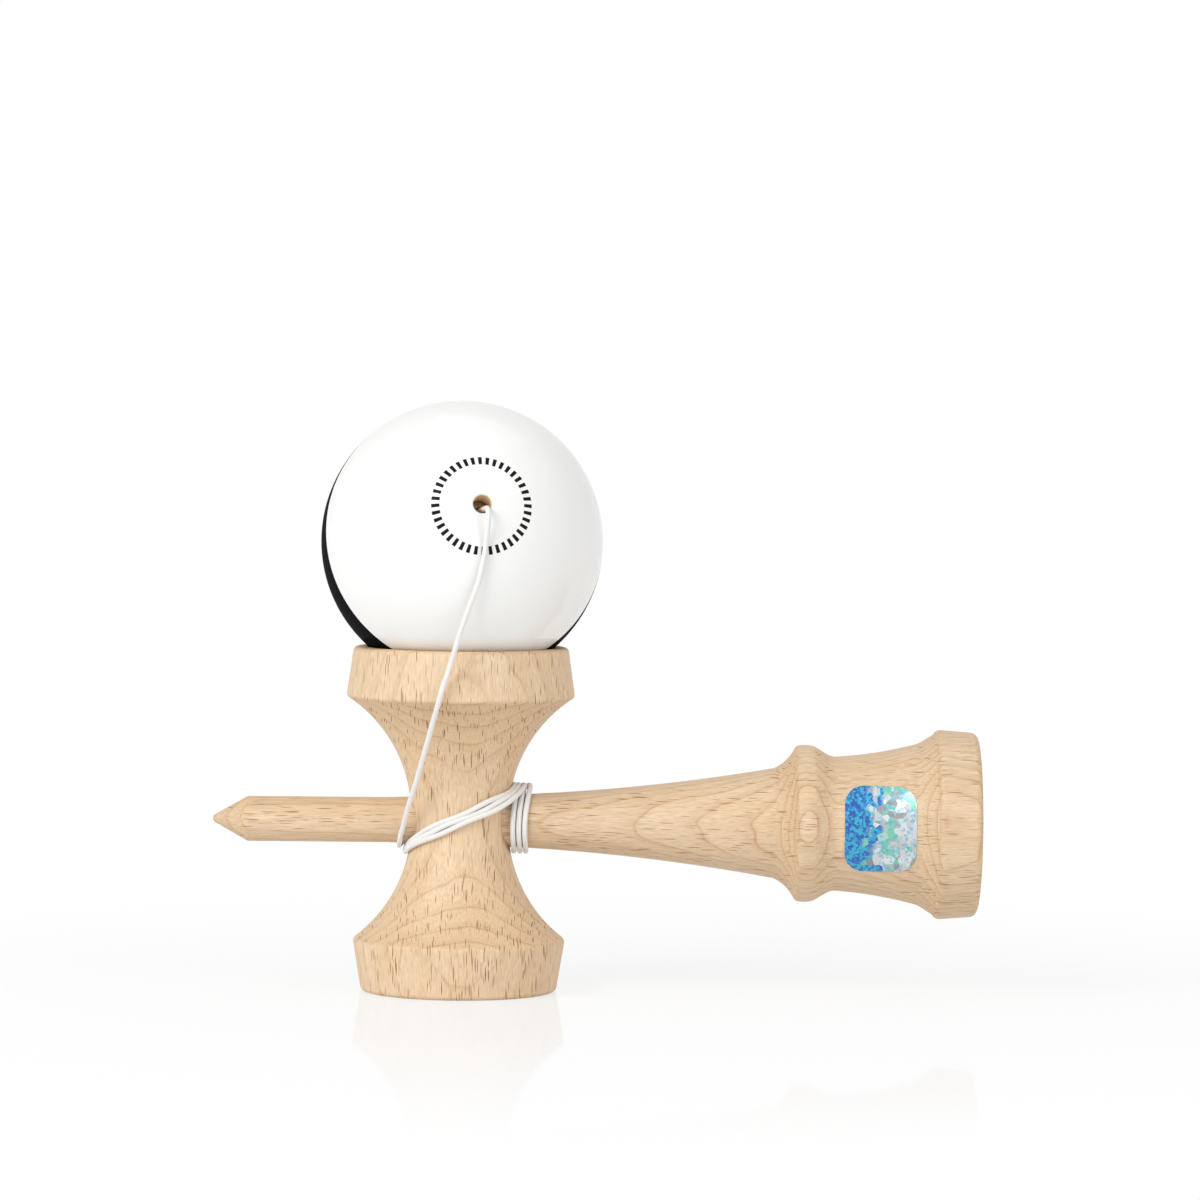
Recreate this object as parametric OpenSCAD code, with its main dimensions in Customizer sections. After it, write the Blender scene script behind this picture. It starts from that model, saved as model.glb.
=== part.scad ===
// Kendama: a turned wooden handle (ken) through a double cup (sarado), with a
// painted ball (tama) resting in the big cup and its string wound up for storage.
// Millimetres. The origin is the centre of the small cup's rim, where the toy
// stands. +Z goes up the cups' axis, +X along the ken to its base cup, and the
// front, with the string and the label, faces -Y.

/* [Tama] */
// Diameter of the ball
tama_d = 60; // [57:0.5:62]
// Diameter of the hole that takes the spike
spike_hole_d = 21; // [19:0.5:23]
// Depth of the spike hole, from its mouth
spike_hole_depth = 41; // [38:0.5:43]
// Width of the bevel round the mouth of the spike hole
mouth_bevel = 1.2; // [0.5:0.1:2]
// Diameter of the pocket for the bead, past the spike hole
bead_pocket_d = 11; // [10:0.5:13]
// Depth of the pocket for the bead
bead_pocket_depth = 12; // [11.6:0.1:13]
// Diameter of the string hole
string_hole_d = 4; // [3:0.1:5]
// Turn of the string hole to the right of the front, in degrees
hole_turn = 9; // [-10:1:20]
// Tilt of the string hole above level, in degrees
hole_tilt = 17; // [10:1:25]

/* [Sarado] */
// Length of the double cup, which is the height of its upper rim
sarado_len = 73.5; // [71:0.5:76]
// Diameter of the waist
waist_d = 20.8; // [19:0.2:23]
// Length of the straight stretch at the waist
waist_len = 2.2; // [1:0.1:4]
// Radius of the hollow flare on both sides of the waist
flare_r = 30.2; // [28:0.2:34]
// Diameter of the ridge under the big cup
big_ridge_d = 48.7; // [46:0.1:51]
// Outer diameter of the big cup's rim
big_rim_d = 46; // [44:0.1:47]
// Inner diameter of the big cup's rim, which the ball rests on
big_mouth_d = 40.4; // [38:0.1:41]
// Depth of the big cup
big_dish_depth = 9; // [8.5:0.1:11]
// Diameter of the ridge over the small cup
small_ridge_d = 45.3; // [43:0.1:47]
// Outer diameter of the small cup's rim
small_rim_d = 42; // [40.5:0.1:43]
// Inner diameter of the small cup's rim
small_mouth_d = 35.6; // [33:0.1:36.5]
// Depth of the small cup
small_dish_depth = 7.5; // [6.5:0.1:9]
// Rounding of the outer edge of each rim
rim_round = 1.1; // [0.6:0.1:1.4]
// Diameter of the string's hole in the waist
waist_hole_d = 2.5; // [2.2:0.1:3]

/* [Ken] */
// Height of the ken's axis above the small cup's rim
ken_z = 36.4; // [35.5:0.1:37.5]
// Distance of the spike's tip from the cups' axis
spike_reach = 52.6; // [50:0.1:56]
// Diameter of the spike
spike_d = 9.6; // [9:0.1:10]
// Length of the spike's pointed end
spike_point_len = 7.4; // [6:0.1:10]
// Length of the seat's taper that shows on the spike's side of the waist
spike_taper_len = 5.6; // [3:0.1:8]
// Length of the seat's taper that shows on the handle's side of the waist
handle_taper_len = 2; // [1:0.1:4]
// Radius of the rounded tip
tip_r = 1; // [0.6:0.1:1.6]
// Diameter where the tapered seat ends and the handle starts
handle_start_d = 11.3; // [10.8:0.1:12]
// Distance of the handle's thick end from the cups' axis
handle_reach = 67; // [62:0.5:68]
// Diameter of the handle's thick end
handle_end_d = 23.5; // [21:0.1:25]
// Radius of the handle's long hollow curve
handle_curve_r = 420; // [300:10:600]
// Radius of the hollow between the handle and its collar
collar_hollow_r = 9.1; // [6:0.1:14]
// Distance of the collar's crest from the cups' axis
collar_reach = 73.6; // [73:0.1:75]
// Diameter of the collar's crest
collar_d = 33.5; // [32.5:0.1:35]
// Distance of the groove from the cups' axis
groove_reach = 80; // [79:0.1:82]
// Diameter at the groove
groove_d = 28.6; // [26:0.1:30]
// Distance from the cups' axis to the end of the neck
neck_reach = 98; // [95:0.1:99]
// Diameter at the end of the neck
neck_end_d = 34.6; // [33:0.1:36]
// Radius of the neck's hollow curve
neck_curve_r = 89; // [60:1:140]
// Distance of the base cup's ridge from the cups' axis
base_ridge_reach = 102.4; // [101.5:0.1:104]
// Diameter of the base cup's ridge
base_ridge_d = 40.4; // [39:0.1:43]
// Distance of the base cup's rim from the cups' axis
base_reach = 110.4; // [109:0.1:114]
// Outer diameter of the base cup's rim
base_rim_d = 39.4; // [38:0.1:40]
// Inner diameter of the base cup's rim
base_mouth_d = 33; // [30:0.1:34]
// Depth of the base cup
base_dish_depth = 7.5; // [6:0.1:9]
// Diameter of the string's hole through the ken
ken_hole_d = 2.4; // [2:0.1:2.8]
// Diameter of the pocket for the knot
knot_pocket_d = 4.6; // [4:0.1:5]
// Depth of the pocket for the knot
knot_pocket_depth = 3.4; // [3.2:0.1:3.8]

/* [Bead and knots] */
// Diameter of the bead that stops the string inside the ball
bead_d = 8; // [7:0.1:9]
// Diameter of the bead's hole
bead_hole_d = 1.5; // [1.4:0.1:2]
// Diameter of the knots at the string's two ends
knot_d = 3; // [2.6:0.1:3.2]

/* [String] */
// Diameter of the string
string_d = 1.2; // [1:0.1:1.3]
// Distance between two strands that lie side by side
strand_pitch = 1.66; // [1.6:0.02:2]
// Turns of string across the front of the cups
cup_turns = 3; // [2:1:3]
// Turns of string round the handle
handle_turns = 3; // [2:1:4]

/* [Label] */
// Length of the foil label along the ken
label_len = 15; // [10:0.5:16]
// Height of the foil label
label_h = 18; // [10:0.5:20]
// Radius of the label's corners
label_corner = 4; // [1:0.5:4.5]
// Thickness of the foil
label_t = 0.12; // [0.1:0.02:0.3]

/* [Clearances] */
// Gap all round the ken in its tapered seat
seat_gap = 0.05; // [0.02:0.01:0.1]
// Gap between the ball and the rim that it rests on
tama_gap = 0.2; // [0.1:0.05:0.4]
// Gap between the bead and the end of its pocket
bead_gap = 0.3; // [0.1:0.05:0.5]
// Gap between the string and what it lies on
string_gap = 0.15; // [0.1:0.05:0.3]
// Gap between the foil and the wood
label_gap = 0.02; // [0.01:0.01:0.05]
// Gap in the string where one moving stretch meets the next
cut_gap = 0.1; // [0.05:0.05:0.2]

/* [Hidden] */
$fn = 96;
overrun = 1;
string_r = string_d / 2;

// Steps in the arcs of the turned outlines
small_steps = 6;
dish_steps = 16;
flare_steps = 20;
handle_steps = 12;

// Places on the sarado
waist_r = waist_d / 2;
flare_low_z = ken_z - waist_len / 2;
flare_high_z = ken_z + waist_len / 2;

// Places on the ken. The seat tapers from the spike to the handle.
seat_start = -waist_r - spike_taper_len;
seat_end = waist_r + handle_taper_len;
collar_half_share = 0.3;
collar_drop_share = 0.15;
collar_foot_share = 0.8;
cup_foot_share = 0.7;
base_round_share = 0.5;

// Place of the ball: the seat is a circle of the mouth's size on the ball
seat_ball_r = tama_d / 2 + tama_gap;
tama_z = sarado_len + sqrt(pow(seat_ball_r, 2) - pow(big_mouth_d / 2, 2));
hole_angles = [90 - hole_tilt, 0, hole_turn];
hole_axis = [
  cos(hole_tilt) * sin(hole_turn),
  -cos(hole_tilt) * cos(hole_turn),
  sin(hole_tilt)
];

// Places along the hole's axis, from the ball's centre towards the string hole
mouth_s = -sqrt(pow(tama_d / 2, 2) - pow(spike_hole_d / 2, 2));
spike_hole_end_s = mouth_s + spike_hole_depth;
pocket_end_s = spike_hole_end_s + bead_pocket_depth;
bead_s = pocket_end_s - bead_gap - bead_d / 2;
bead_knot_s = bead_s - bead_d / 2 - bead_gap - knot_d / 2;
string_exit_s = tama_d / 2;
string_rim_s = sqrt(pow(tama_d / 2, 2) - pow(string_hole_d / 2, 2));
string_hole_bevel = 0.3;

// Places along the string's hole in the ken, from the front to the back
knot_y = -seat_radius(0) + knot_pocket_depth - knot_d / 2 - string_gap;
string_bend_share = 1.5;
string_ken_end_y = waist_r - string_d * string_bend_share;

// Arc of radius r from p to q in the given steps, turning left for a positive r
function arc(p, q, r, steps) =
  let (
    d = q - p,
    half = norm(d) / 2,
    left = [-d.y, d.x] / norm(d),
    c = (p + q) / 2 + sign(r) * sqrt(r * r - half * half) * left,
    a = atan2(p.y - c.y, p.x - c.x),
    b = atan2(q.y - c.y, q.x - c.x),
    sweep = b - a > 180 ? b - a - 360 : b - a < -180 ? b - a + 360 : b - a
  )
  [for (i = [0 : steps]) c + abs(r) * [cos(a + sweep * i / steps), sin(a + sweep * i / steps)]];

// Radius of the ball-shaped hollow with the given mouth and depth
function dish_r(mouth_d, depth) = (pow(mouth_d / 2, 2) + depth * depth) / (2 * depth);

// Distance along the axis from a flare's start to where it has the given diameter
function flare_run(d) = sqrt(pow(flare_r, 2) - pow(waist_r + flare_r - d / 2, 2));

// Radius of the ken in its seat, at x from the cups' axis
function seat_radius(x) =
  let (share = (x - seat_start) / (seat_end - seat_start))
  spike_d / 2 * (1 - share) + handle_start_d / 2 * share;

// Half outline of the sarado, as radius and height
function sarado_outline() =
  let (
    low_ridge = [small_ridge_d / 2, flare_low_z - flare_run(small_ridge_d)],
    high_ridge = [big_ridge_d / 2, flare_high_z + flare_run(big_ridge_d)],
    small_rim = small_rim_d / 2,
    big_rim = big_rim_d / 2,
    top = sarado_len
  )
  concat(
    arc([0, small_dish_depth], [small_mouth_d / 2, 0],
      -dish_r(small_mouth_d, small_dish_depth), dish_steps),
    arc([small_rim - rim_round, 0], [small_rim, rim_round], rim_round, small_steps),
    arc(low_ridge, [waist_r, flare_low_z], -flare_r, flare_steps),
    arc([waist_r, flare_high_z], high_ridge, -flare_r, flare_steps),
    arc([big_rim, top - rim_round], [big_rim - rim_round, top], rim_round, small_steps),
    arc([big_mouth_d / 2, top], [0, top - big_dish_depth],
      -dish_r(big_mouth_d, big_dish_depth), dish_steps)
  );

// Half outline of the ken, as radius and distance from the cups' axis
function ken_outline() =
  let (
    tip = -spike_reach,
    point_run = spike_point_len - tip_r,
    point_far = norm([spike_d / 2, point_run]),
    tip_angle = atan2(spike_d / 2, point_run) + acos(tip_r / point_far),
    tip_edge = [tip_r * sin(tip_angle), tip + tip_r + tip_r * cos(tip_angle)],
    handle_start = [handle_start_d / 2, seat_end],
    handle_end = [handle_end_d / 2, handle_reach],
    collar_half = (collar_reach - handle_reach) * collar_half_share,
    collar_drop = collar_half * collar_drop_share,
    collar_edge = collar_d / 2 - collar_drop,
    collar_near = [collar_edge, collar_reach - collar_half],
    collar_far = [collar_edge, collar_reach + collar_half],
    collar_foot = collar_far.y + (groove_reach - collar_far.y) * collar_foot_share,
    groove = [groove_d / 2, groove_reach],
    neck_end = [neck_end_d / 2, neck_reach],
    cup_foot = [
      neck_end.x + (base_ridge_d / 2 - neck_end.x) * cup_foot_share,
      neck_reach + (base_ridge_reach - neck_reach) * cup_foot_share
    ],
    base_ridge = [base_ridge_d / 2, base_ridge_reach],
    base_rim = base_rim_d / 2,
    base_round = (base_rim - base_mouth_d / 2) * base_round_share
  )
  concat(
    arc([0, tip], tip_edge, tip_r, small_steps),
    [[spike_d / 2, tip + spike_point_len], [spike_d / 2, seat_start]],
    arc(handle_start, handle_end, -handle_curve_r, handle_steps),
    arc(handle_end, collar_near, -collar_hollow_r, small_steps),
    arc(collar_near, collar_far, dish_r(2 * collar_half, collar_drop), small_steps),
    [[groove.x, collar_foot]],
    arc(groove, neck_end, -neck_curve_r, handle_steps),
    arc(cup_foot, base_ridge, norm(base_ridge - cup_foot), small_steps),
    arc([base_rim, base_reach - base_round], [base_rim - base_round, base_reach],
      base_round, small_steps),
    arc([base_mouth_d / 2, base_reach], [0, base_reach - base_dish_depth],
      -dish_r(base_mouth_d, base_dish_depth), dish_steps)
  );

// Tube of the given radius and sides along a path: rings turned without twist
steep_share = 0.9;
lead_sides = 8;
winding_sides = 6;
function tangent(path, i) =
  let (
    before = path[max(0, i - 1)],
    after = path[min(len(path) - 1, i + 1)]
  )
  (after - before) / norm(after - before);
function square_to(v, t) = let (w = v - (v * t) * t) w / norm(w);
function tube_normals(path) =
  let (first = tangent(path, 0), side = abs(first.z) < steep_share ? [0, 0, 1] : [1, 0, 0])
  [for (i = 0, u = square_to(cross(first, side), first);
    i < len(path);
    i = i + 1, u = i < len(path) ? square_to(u, tangent(path, i)) : u) u];

module tube(path, r, sides) {
  normals = tube_normals(path);
  rings = len(path);
  points = [for (i = [0 : rings - 1], k = [0 : sides - 1])
    let (u = normals[i], w = cross(tangent(path, i), u), a = 360 * k / sides)
    path[i] + r * (cos(a) * u + sin(a) * w)];
  walls = [for (i = [0 : rings - 2], k = [0 : sides - 1])
    let (
      a = i * sides + k,
      b = i * sides + (k + 1) % sides,
      c = a + sides,
      d = b + sides
    )
    each [[a, d, b], [a, c, d]]];
  last = (rings - 1) * sides;
  caps = [for (k = [1 : sides - 2])
    each [[0, k, k + 1], [last, last + k + 1, last + k]]];
  polyhedron(points, concat(walls, caps));
}

// Smooth curve through hand-chosen points, with the given steps from each to the next
function smooth_path(p, steps) =
  let (n = len(p))
  [for (i = [0 : n - 2], k = [0 : i == n - 2 ? steps : steps - 1])
    let (
      a = p[max(0, i - 1)],
      b = p[i],
      c = p[i + 1],
      d = p[min(n - 1, i + 2)],
      t = k / steps
    )
    b + t / 2 * ((c - a) + t * ((2 * a - 5 * b + 4 * c - d) + t * (3 * (b - c) + d - a)))];

// Routes of the free string, from the ball to its split and on to the winding. Each
// end is straight for one string diameter.
upper_steps = 2;
lower_steps = 3;
lead_split = [-0.8, -27.4, 75];
lead_foot = [-12.4, -5.6, 34.6];
upper_route = [
  [6.2, -30.9, 103.4], [6.4, -30.7, 101], [6, -30.3, 97], [5.1, -30.3, 93],
  [3.8, -29.9, 88.4], [2.1, -29.1, 83.8], [0.4, -28.2, 79]
];
lower_route = [
  [-2.6, -26.3, 69], [-3.7, -25.6, 65.6], [-4.5, -24.8, 62.6], [-5.6, -22.2, 58.6],
  [-7.2, -18.2, 52.6], [-9, -13.7, 46], [-10.9, -9.2, 39.6]
];
hole_exit = [0, 0, tama_z] + (string_exit_s + cut_gap) * hole_axis;
split_way = way(upper_route[len(upper_route) - 1], lower_route[0]);
foot_way = way(lead_foot, lower_route[len(lower_route) - 1]);

function way(a, b) = (b - a) / norm(b - a);
function upper_path() =
  concat(
    [hole_exit],
    smooth_path(
      concat([hole_exit + string_d * hole_axis], upper_route, [lead_split - string_d * split_way]),
      upper_steps),
    [lead_split]
  );
function lower_path() =
  concat(
    [lead_split],
    smooth_path(
      concat([lead_split + string_d * split_way], lower_route, [lead_foot + string_d * foot_way]),
      lower_steps),
    [lead_foot + cut_gap * foot_way]
  );

// The winding. Its strands lie on the waist, on the handle and under the spike.
lay_r = string_r + string_gap;
handle_lay_r = handle_start_d / 2 + lay_r + string_gap;
handle_lay_x = waist_r + lay_r + string_gap * 2;
over_r = handle_lay_r + strand_pitch;
spike_lay_r = spike_d / 2 + lay_r;
climb_share = 1.2;
side_share = 1.12;
climb_pitch = strand_pitch * climb_share;
side_pitch = strand_pitch * side_share;
turn_steps = 24;
join_steps = 6;
near_steps = 6;

// Where laps start and end, in turns
quarter_share = 0.25;
half_share = 0.5;
handle_first_share = 0.12;
cup_first_share = 0.02;
tiny_share = 0.01;
bend_start_share = 0.06;

// Radius of the waist at a height dz from the ken's axis
function waist_radius(dz) =
  let (e = max(0, abs(dz) - waist_len / 2))
  waist_r + flare_r - sqrt(flare_r * flare_r - e * e);
function ease(t) = let (s = min(1, max(0, t))) s * s * (3 - 2 * s);

// Turns round the cups: lap t passes over the handle at whole numbers, behind the
// waist a quarter later, under the spike at the half and over the front at three
// quarters. Strands lie one over the next on the waist and side by side over the
// handle. Behind the waist they pass over the string that comes out there, and the
// last half lap turns out past its neighbour under the spike.
function cup_lap(t) =
  let (
    a = 360 * t,
    swing = 90 * pow(max(0, cos(a)), 2),
    last = 90 * ease((t - cup_turns - quarter_share) / quarter_share),
    low = -spike_lay_r - climb_pitch * (1 - quarter_share),
    middle = (over_r + low) / 2,
    lane = t - cup_turns + 1 + quarter_share,
    rise = climb_pitch * (lane * cos(swing) - 1 + cos(last)),
    dz = middle + (over_r - middle) * cos(a) + rise,
    beside = side_pitch * (max(0, cup_turns + quarter_share - t) * sin(swing) + sin(last)),
    lift = climb_pitch * pow(max(0, sin(a)), 2),
    rho = waist_radius(dz) + lay_r + beside + lift
  )
  [rho * cos(a), rho * sin(a), ken_z + dz];

// Turns round the handle: from behind and below, up the front and over the top
function handle_lap(t) =
  [
    handle_lay_x + strand_pitch * t,
    handle_lay_r * cos(360 * t),
    ken_z - handle_lay_r * sin(360 * t)
  ];

// First stretch: round the waist from the back, at share t of the way to the handle
function first_stretch(t) =
  let (
    end = handle_lap(handle_first_share),
    a = 90 * (1 - t) + atan2(end.y, end.x) * t,
    rho = (waist_r + lay_r) * (1 - t) + norm([end.x, end.y]) * t
  )
  [rho * cos(a), rho * sin(a), ken_z + (end.z - ken_z) * t * t];

// Last stretch: up the front of the spike from below it, at angle a from the bottom
function last_stretch(a, x) =
  [x, -spike_lay_r * sin(a), ken_z - spike_lay_r * cos(a)];

// Smooth joining curve from a, leaving along u, to b, arriving along v
function joining(a, u, b, v, steps) =
  [for (i = [1 : steps - 1])
    let (t = i / steps, s = 1 - t)
    s * s * s * a + 3 * s * s * t * (a + u) + 3 * s * t * t * (b - v) + t * t * t * b];

// Shares of a lap, from one to another, in even steps
function lap_shares(first, last) =
  let (steps = round((last - first) * turn_steps))
  [for (i = [0 : steps]) first + (last - first) * i / steps];

function winding_path() =
  let (
    hole_start = [0, string_ken_end_y, ken_z],
    hole_mouth = [0, string_ken_end_y + string_d, ken_z],
    laid = first_stretch(bend_start_share * 2),
    laid_way = way(first_stretch(bend_start_share), laid),
    handle_last = handle_turns - half_share,
    up_front = handle_lap(handle_last),
    up_way = way(handle_lap(handle_last - tiny_share), up_front),
    over = cup_lap(cup_first_share),
    over_way = way(over, cup_lap(cup_first_share + tiny_share)),
    under = cup_lap(cup_turns + half_share),
    foot_angle = atan2(foot_way.z, -foot_way.y),
    foot_run = (lead_foot.y + spike_lay_r * sin(foot_angle)) / foot_way.y,
    touch_x = lead_foot.x - foot_run * foot_way.x
  )
  concat(
    [hole_start, hole_mouth],
    joining(hole_mouth, [0, string_d, 0], laid, string_d * laid_way, join_steps),
    [for (t = [bend_start_share * 2 : bend_start_share * 2 : 1]) first_stretch(t)],
    [for (t = lap_shares(handle_first_share, handle_last)) handle_lap(t)],
    joining(up_front, handle_lay_r * up_way, over, handle_lay_r * half_share * over_way,
      join_steps),
    [for (t = lap_shares(cup_first_share, cup_turns + half_share)) cup_lap(t)],
    [for (s = [quarter_share : quarter_share : 1])
      last_stretch(foot_angle * s, under.x * (1 - s) + touch_x * s)],
    [lead_foot - string_d * foot_way, lead_foot]
  );

// Least distance from p to the path's segments between two indices
function segment_distance(p, a, b) =
  let (d = b - a, t = min(1, max(0, (p - a) * d / (d * d))))
  norm(p - a - t * d);
function least_gap(path, skip) =
  min([for (i = [0 : len(path) - 1], j = [0 : len(path) - 2])
    if (abs(i - j) > skip && abs(i - j - 1) > skip)
      segment_distance(path[i], path[j], path[j + 1])]) - string_d;

module on_hole_axis(s) {
  translate([0, 0, tama_z]) rotate(hole_angles) translate([0, 0, s]) children();
}

module along_ken() {
  translate([0, 0, ken_z]) rotate([0, 90, 0]) children();
}

// Cylinder along Y at the ken's height, from one y to another
module cross_bar(y_from, y_to, d) {
  translate([0, y_to, ken_z]) rotate([90, 0, 0]) cylinder(d = d, h = y_to - y_from);
}

module ken() {
  color("burlywood") difference() {
    along_ken() rotate_extrude() polygon(ken_outline());
    cross_bar(-handle_start_d, handle_start_d, ken_hole_d);
    cross_bar(-handle_start_d, -seat_radius(0) + knot_pocket_depth, knot_pocket_d);
  }
}

module sarado() {
  bore_len = seat_end - seat_start;
  color("burlywood") difference() {
    rotate_extrude() polygon(sarado_outline());
    translate([seat_start, 0, 0]) along_ken()
      cylinder(r1 = spike_d / 2 + seat_gap, r2 = handle_start_d / 2 + seat_gap, h = bore_len);
    cross_bar(0, waist_d, waist_hole_d);
  }
}

module tama() {
  color("whitesmoke") difference() {
    translate([0, 0, tama_z]) sphere(d = tama_d);
    on_hole_axis(-tama_d / 2 - overrun)
      cylinder(d = spike_hole_d, h = spike_hole_end_s + tama_d / 2 + overrun);
    on_hole_axis(mouth_s - overrun)
      cylinder(r1 = spike_hole_d / 2 + mouth_bevel + overrun, r2 = spike_hole_d / 2,
        h = mouth_bevel + overrun);
    on_hole_axis(0) cylinder(d = bead_pocket_d, h = pocket_end_s);
    on_hole_axis(0) cylinder(d = string_hole_d, h = tama_d);
    on_hole_axis(string_rim_s - string_hole_bevel)
      cylinder(r1 = string_hole_d / 2, r2 = string_hole_d / 2 + string_hole_bevel + overrun,
        h = string_hole_bevel + overrun);
  }
}

module bead() {
  color("darkgoldenrod") on_hole_axis(bead_s) difference() {
    sphere(d = bead_d);
    cylinder(d = bead_hole_d, h = bead_d * 2, center = true);
  }
}

module bead_knot() {
  color("ivory") on_hole_axis(bead_knot_s) difference() {
    sphere(d = knot_d);
    translate([0, 0, knot_d / 2 - string_r]) cylinder(d = string_d, h = knot_d);
  }
}

module ken_knot() {
  color("ivory") difference() {
    translate([0, knot_y, ken_z]) sphere(d = knot_d);
    cross_bar(knot_y + knot_d / 2 - string_r, waist_d, string_d);
  }
}

module string_tama_end() {
  start = bead_knot_s + knot_d / 2 - string_r;
  color("ivory") on_hole_axis(start) cylinder(d = string_d, h = string_exit_s - start);
}

module string_ken_end() {
  color("ivory") cross_bar(knot_y + knot_d / 2 - string_r, string_ken_end_y, string_d);
}

module string_lead_upper() {
  color("ivory") tube(upper_path(), string_r, lead_sides);
}

module string_lead_lower() {
  color("ivory") tube(lower_path(), string_r, lead_sides);
}

module string_winding() {
  path = winding_path();
  echo(winding_points = len(path), least_gap_mm = least_gap(path, near_steps));
  color("ivory") tube(path, string_r, winding_sides);
}

module foil_label() {
  middle = (groove_reach + neck_reach) / 2;
  near = [groove_d / 2, groove_reach];
  far = [neck_end_d / 2, neck_reach];
  skin = arc(near, far, -neck_curve_r, handle_steps);
  lift = [label_gap, 0];
  color("steelblue") intersection() {
    along_ken() rotate_extrude() polygon(concat(
      [for (p = skin) p + lift],
      [for (i = [len(skin) - 1 : -1 : 0]) skin[i] + lift + [label_t, 0]]
    ));
    translate([middle, 0, ken_z]) rotate([90, 0, 0]) linear_extrude(base_ridge_d)
      label_shape();
  }
}

// Rounded rectangle of the label
module label_shape() {
  square([label_len - 2 * label_corner, label_h], center = true);
  square([label_len, label_h - 2 * label_corner], center = true);
  for (x = [-1, 1], y = [-1, 1])
    translate([x * (label_len / 2 - label_corner), y * (label_h / 2 - label_corner)])
      circle(label_corner);
}

ken();
sarado();
tama();
bead();
bead_knot();
ken_knot();
string_tama_end();
string_lead_upper();
string_lead_lower();
string_winding();
string_ken_end();
foil_label();
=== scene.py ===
"""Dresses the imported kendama: turned beech, a painted ball, a wound string and a foil label.

Metres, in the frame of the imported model: the toy stands on the small cup at the origin,
+Z goes up the cups' axis, +X along the ken to its base cup, and the front faces -Y.
"""

import math

import bmesh
import bpy
from bpy.props import FloatProperty, FloatVectorProperty, IntProperty, PointerProperty
from bpy.types import Operator, Panel, PropertyGroup
from mathutils import Euler, Matrix, Vector


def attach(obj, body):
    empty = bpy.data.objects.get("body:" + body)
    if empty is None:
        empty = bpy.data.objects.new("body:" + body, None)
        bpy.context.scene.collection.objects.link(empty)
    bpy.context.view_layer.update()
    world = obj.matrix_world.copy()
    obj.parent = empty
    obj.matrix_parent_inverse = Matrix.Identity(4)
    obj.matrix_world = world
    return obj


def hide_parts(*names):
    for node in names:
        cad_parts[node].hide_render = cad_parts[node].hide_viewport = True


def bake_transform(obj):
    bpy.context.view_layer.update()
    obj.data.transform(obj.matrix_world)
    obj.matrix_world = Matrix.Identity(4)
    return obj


bl_info = {
    "name": "Kendama dresser",
    "version": (1, 0, 0),
    "blender": (4, 5, 0),
    "location": "View3D > Sidebar > Kendama",
    "description": "Builds the turned, painted and strung pieces of a kendama on its packed frame",
    "category": "Object",
}

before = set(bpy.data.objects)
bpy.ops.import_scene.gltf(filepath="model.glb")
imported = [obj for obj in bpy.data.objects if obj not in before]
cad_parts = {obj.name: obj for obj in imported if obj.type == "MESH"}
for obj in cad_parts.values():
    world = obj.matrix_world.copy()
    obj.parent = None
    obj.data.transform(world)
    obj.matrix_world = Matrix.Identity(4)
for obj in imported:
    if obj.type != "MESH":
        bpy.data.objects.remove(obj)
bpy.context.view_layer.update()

FULL_TURN = 2 * math.pi
RIGHT_ANGLE = math.pi / 2
MILLIMETRES = 1000.0
# Points closer than this are one point, and edges that turn more than this stay sharp
MERGE_DISTANCE = 1e-6
SHARP_ANGLE = math.radians(38)
# Steps of a rounded corner, and of a full turn of a drilled hole
ROUND_SEGMENTS = 5
BAR_STEPS = 64
# The palest that a toned colour gets, and the depth of fine relief
PALEST = 0.95
RELIEF = 0.0001


def length(name, description, default):
    """A size in metres that a user can change."""
    return FloatProperty(name=name, description=description, default=default, min=0.0,
                         unit="LENGTH", precision=5)


def angle(name, description, degrees):
    """An angle that a user can change."""
    return FloatProperty(name=name, description=description, default=math.radians(degrees),
                         unit="ROTATION", subtype="ANGLE")


def colour(name, description, default):
    """A colour that a user can change."""
    return FloatVectorProperty(name=name, description=description, default=default, size=3,
                               min=0.0, max=1.0, subtype="COLOR")


class KendamaTama(PropertyGroup):
    """Sizes and paint of the ball."""

    diameter: length("Diameter", "Diameter of the ball", 0.06)
    seat_gap: length("Seat gap", "Gap between the ball and the rim that it rests on", 0.0002)
    spike_hole: length("Spike hole", "Diameter of the hole that takes the spike", 0.021)
    spike_depth: length("Spike depth", "Depth of the spike hole from its mouth", 0.041)
    mouth_bevel: length("Mouth bevel", "Width of the bevel round the spike hole", 0.0012)
    pocket: length("Bead pocket", "Diameter of the pocket for the bead", 0.011)
    pocket_depth: length("Pocket depth", "Depth of the pocket past the spike hole", 0.012)
    string_hole: length("String hole", "Diameter of the string hole", 0.004)
    string_bevel: length("String hole bevel", "Width of the bevel round the string hole", 0.0003)
    edge_round: length("Edge round", "Rounding of the painted edges", 0.00035)
    hole_turn: angle("Hole turn", "Turn of the string hole to the right of the front", 9)
    hole_tilt: angle("Hole tilt", "Tilt of the string hole above level", 17)
    white: colour("White paint", "Paint round the string hole", (0.85, 0.85, 0.835))
    black: colour("Black paint", "Paint behind", (0.006, 0.006, 0.007))
    ink: colour("Ink", "Ink of the printed ring", (0.012, 0.012, 0.013))
    paint_line: length("Paint line", "Height of the line between the paints", 0.0043)
    tick_count: IntProperty(name="Ticks", description="Ticks in the printed ring",
                            default=40, min=4)
    tick_inner: length("Tick inner radius", "Inner radius of the printed ring", 0.0089)
    tick_outer: length("Tick outer radius", "Outer radius of the printed ring", 0.0106)


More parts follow.
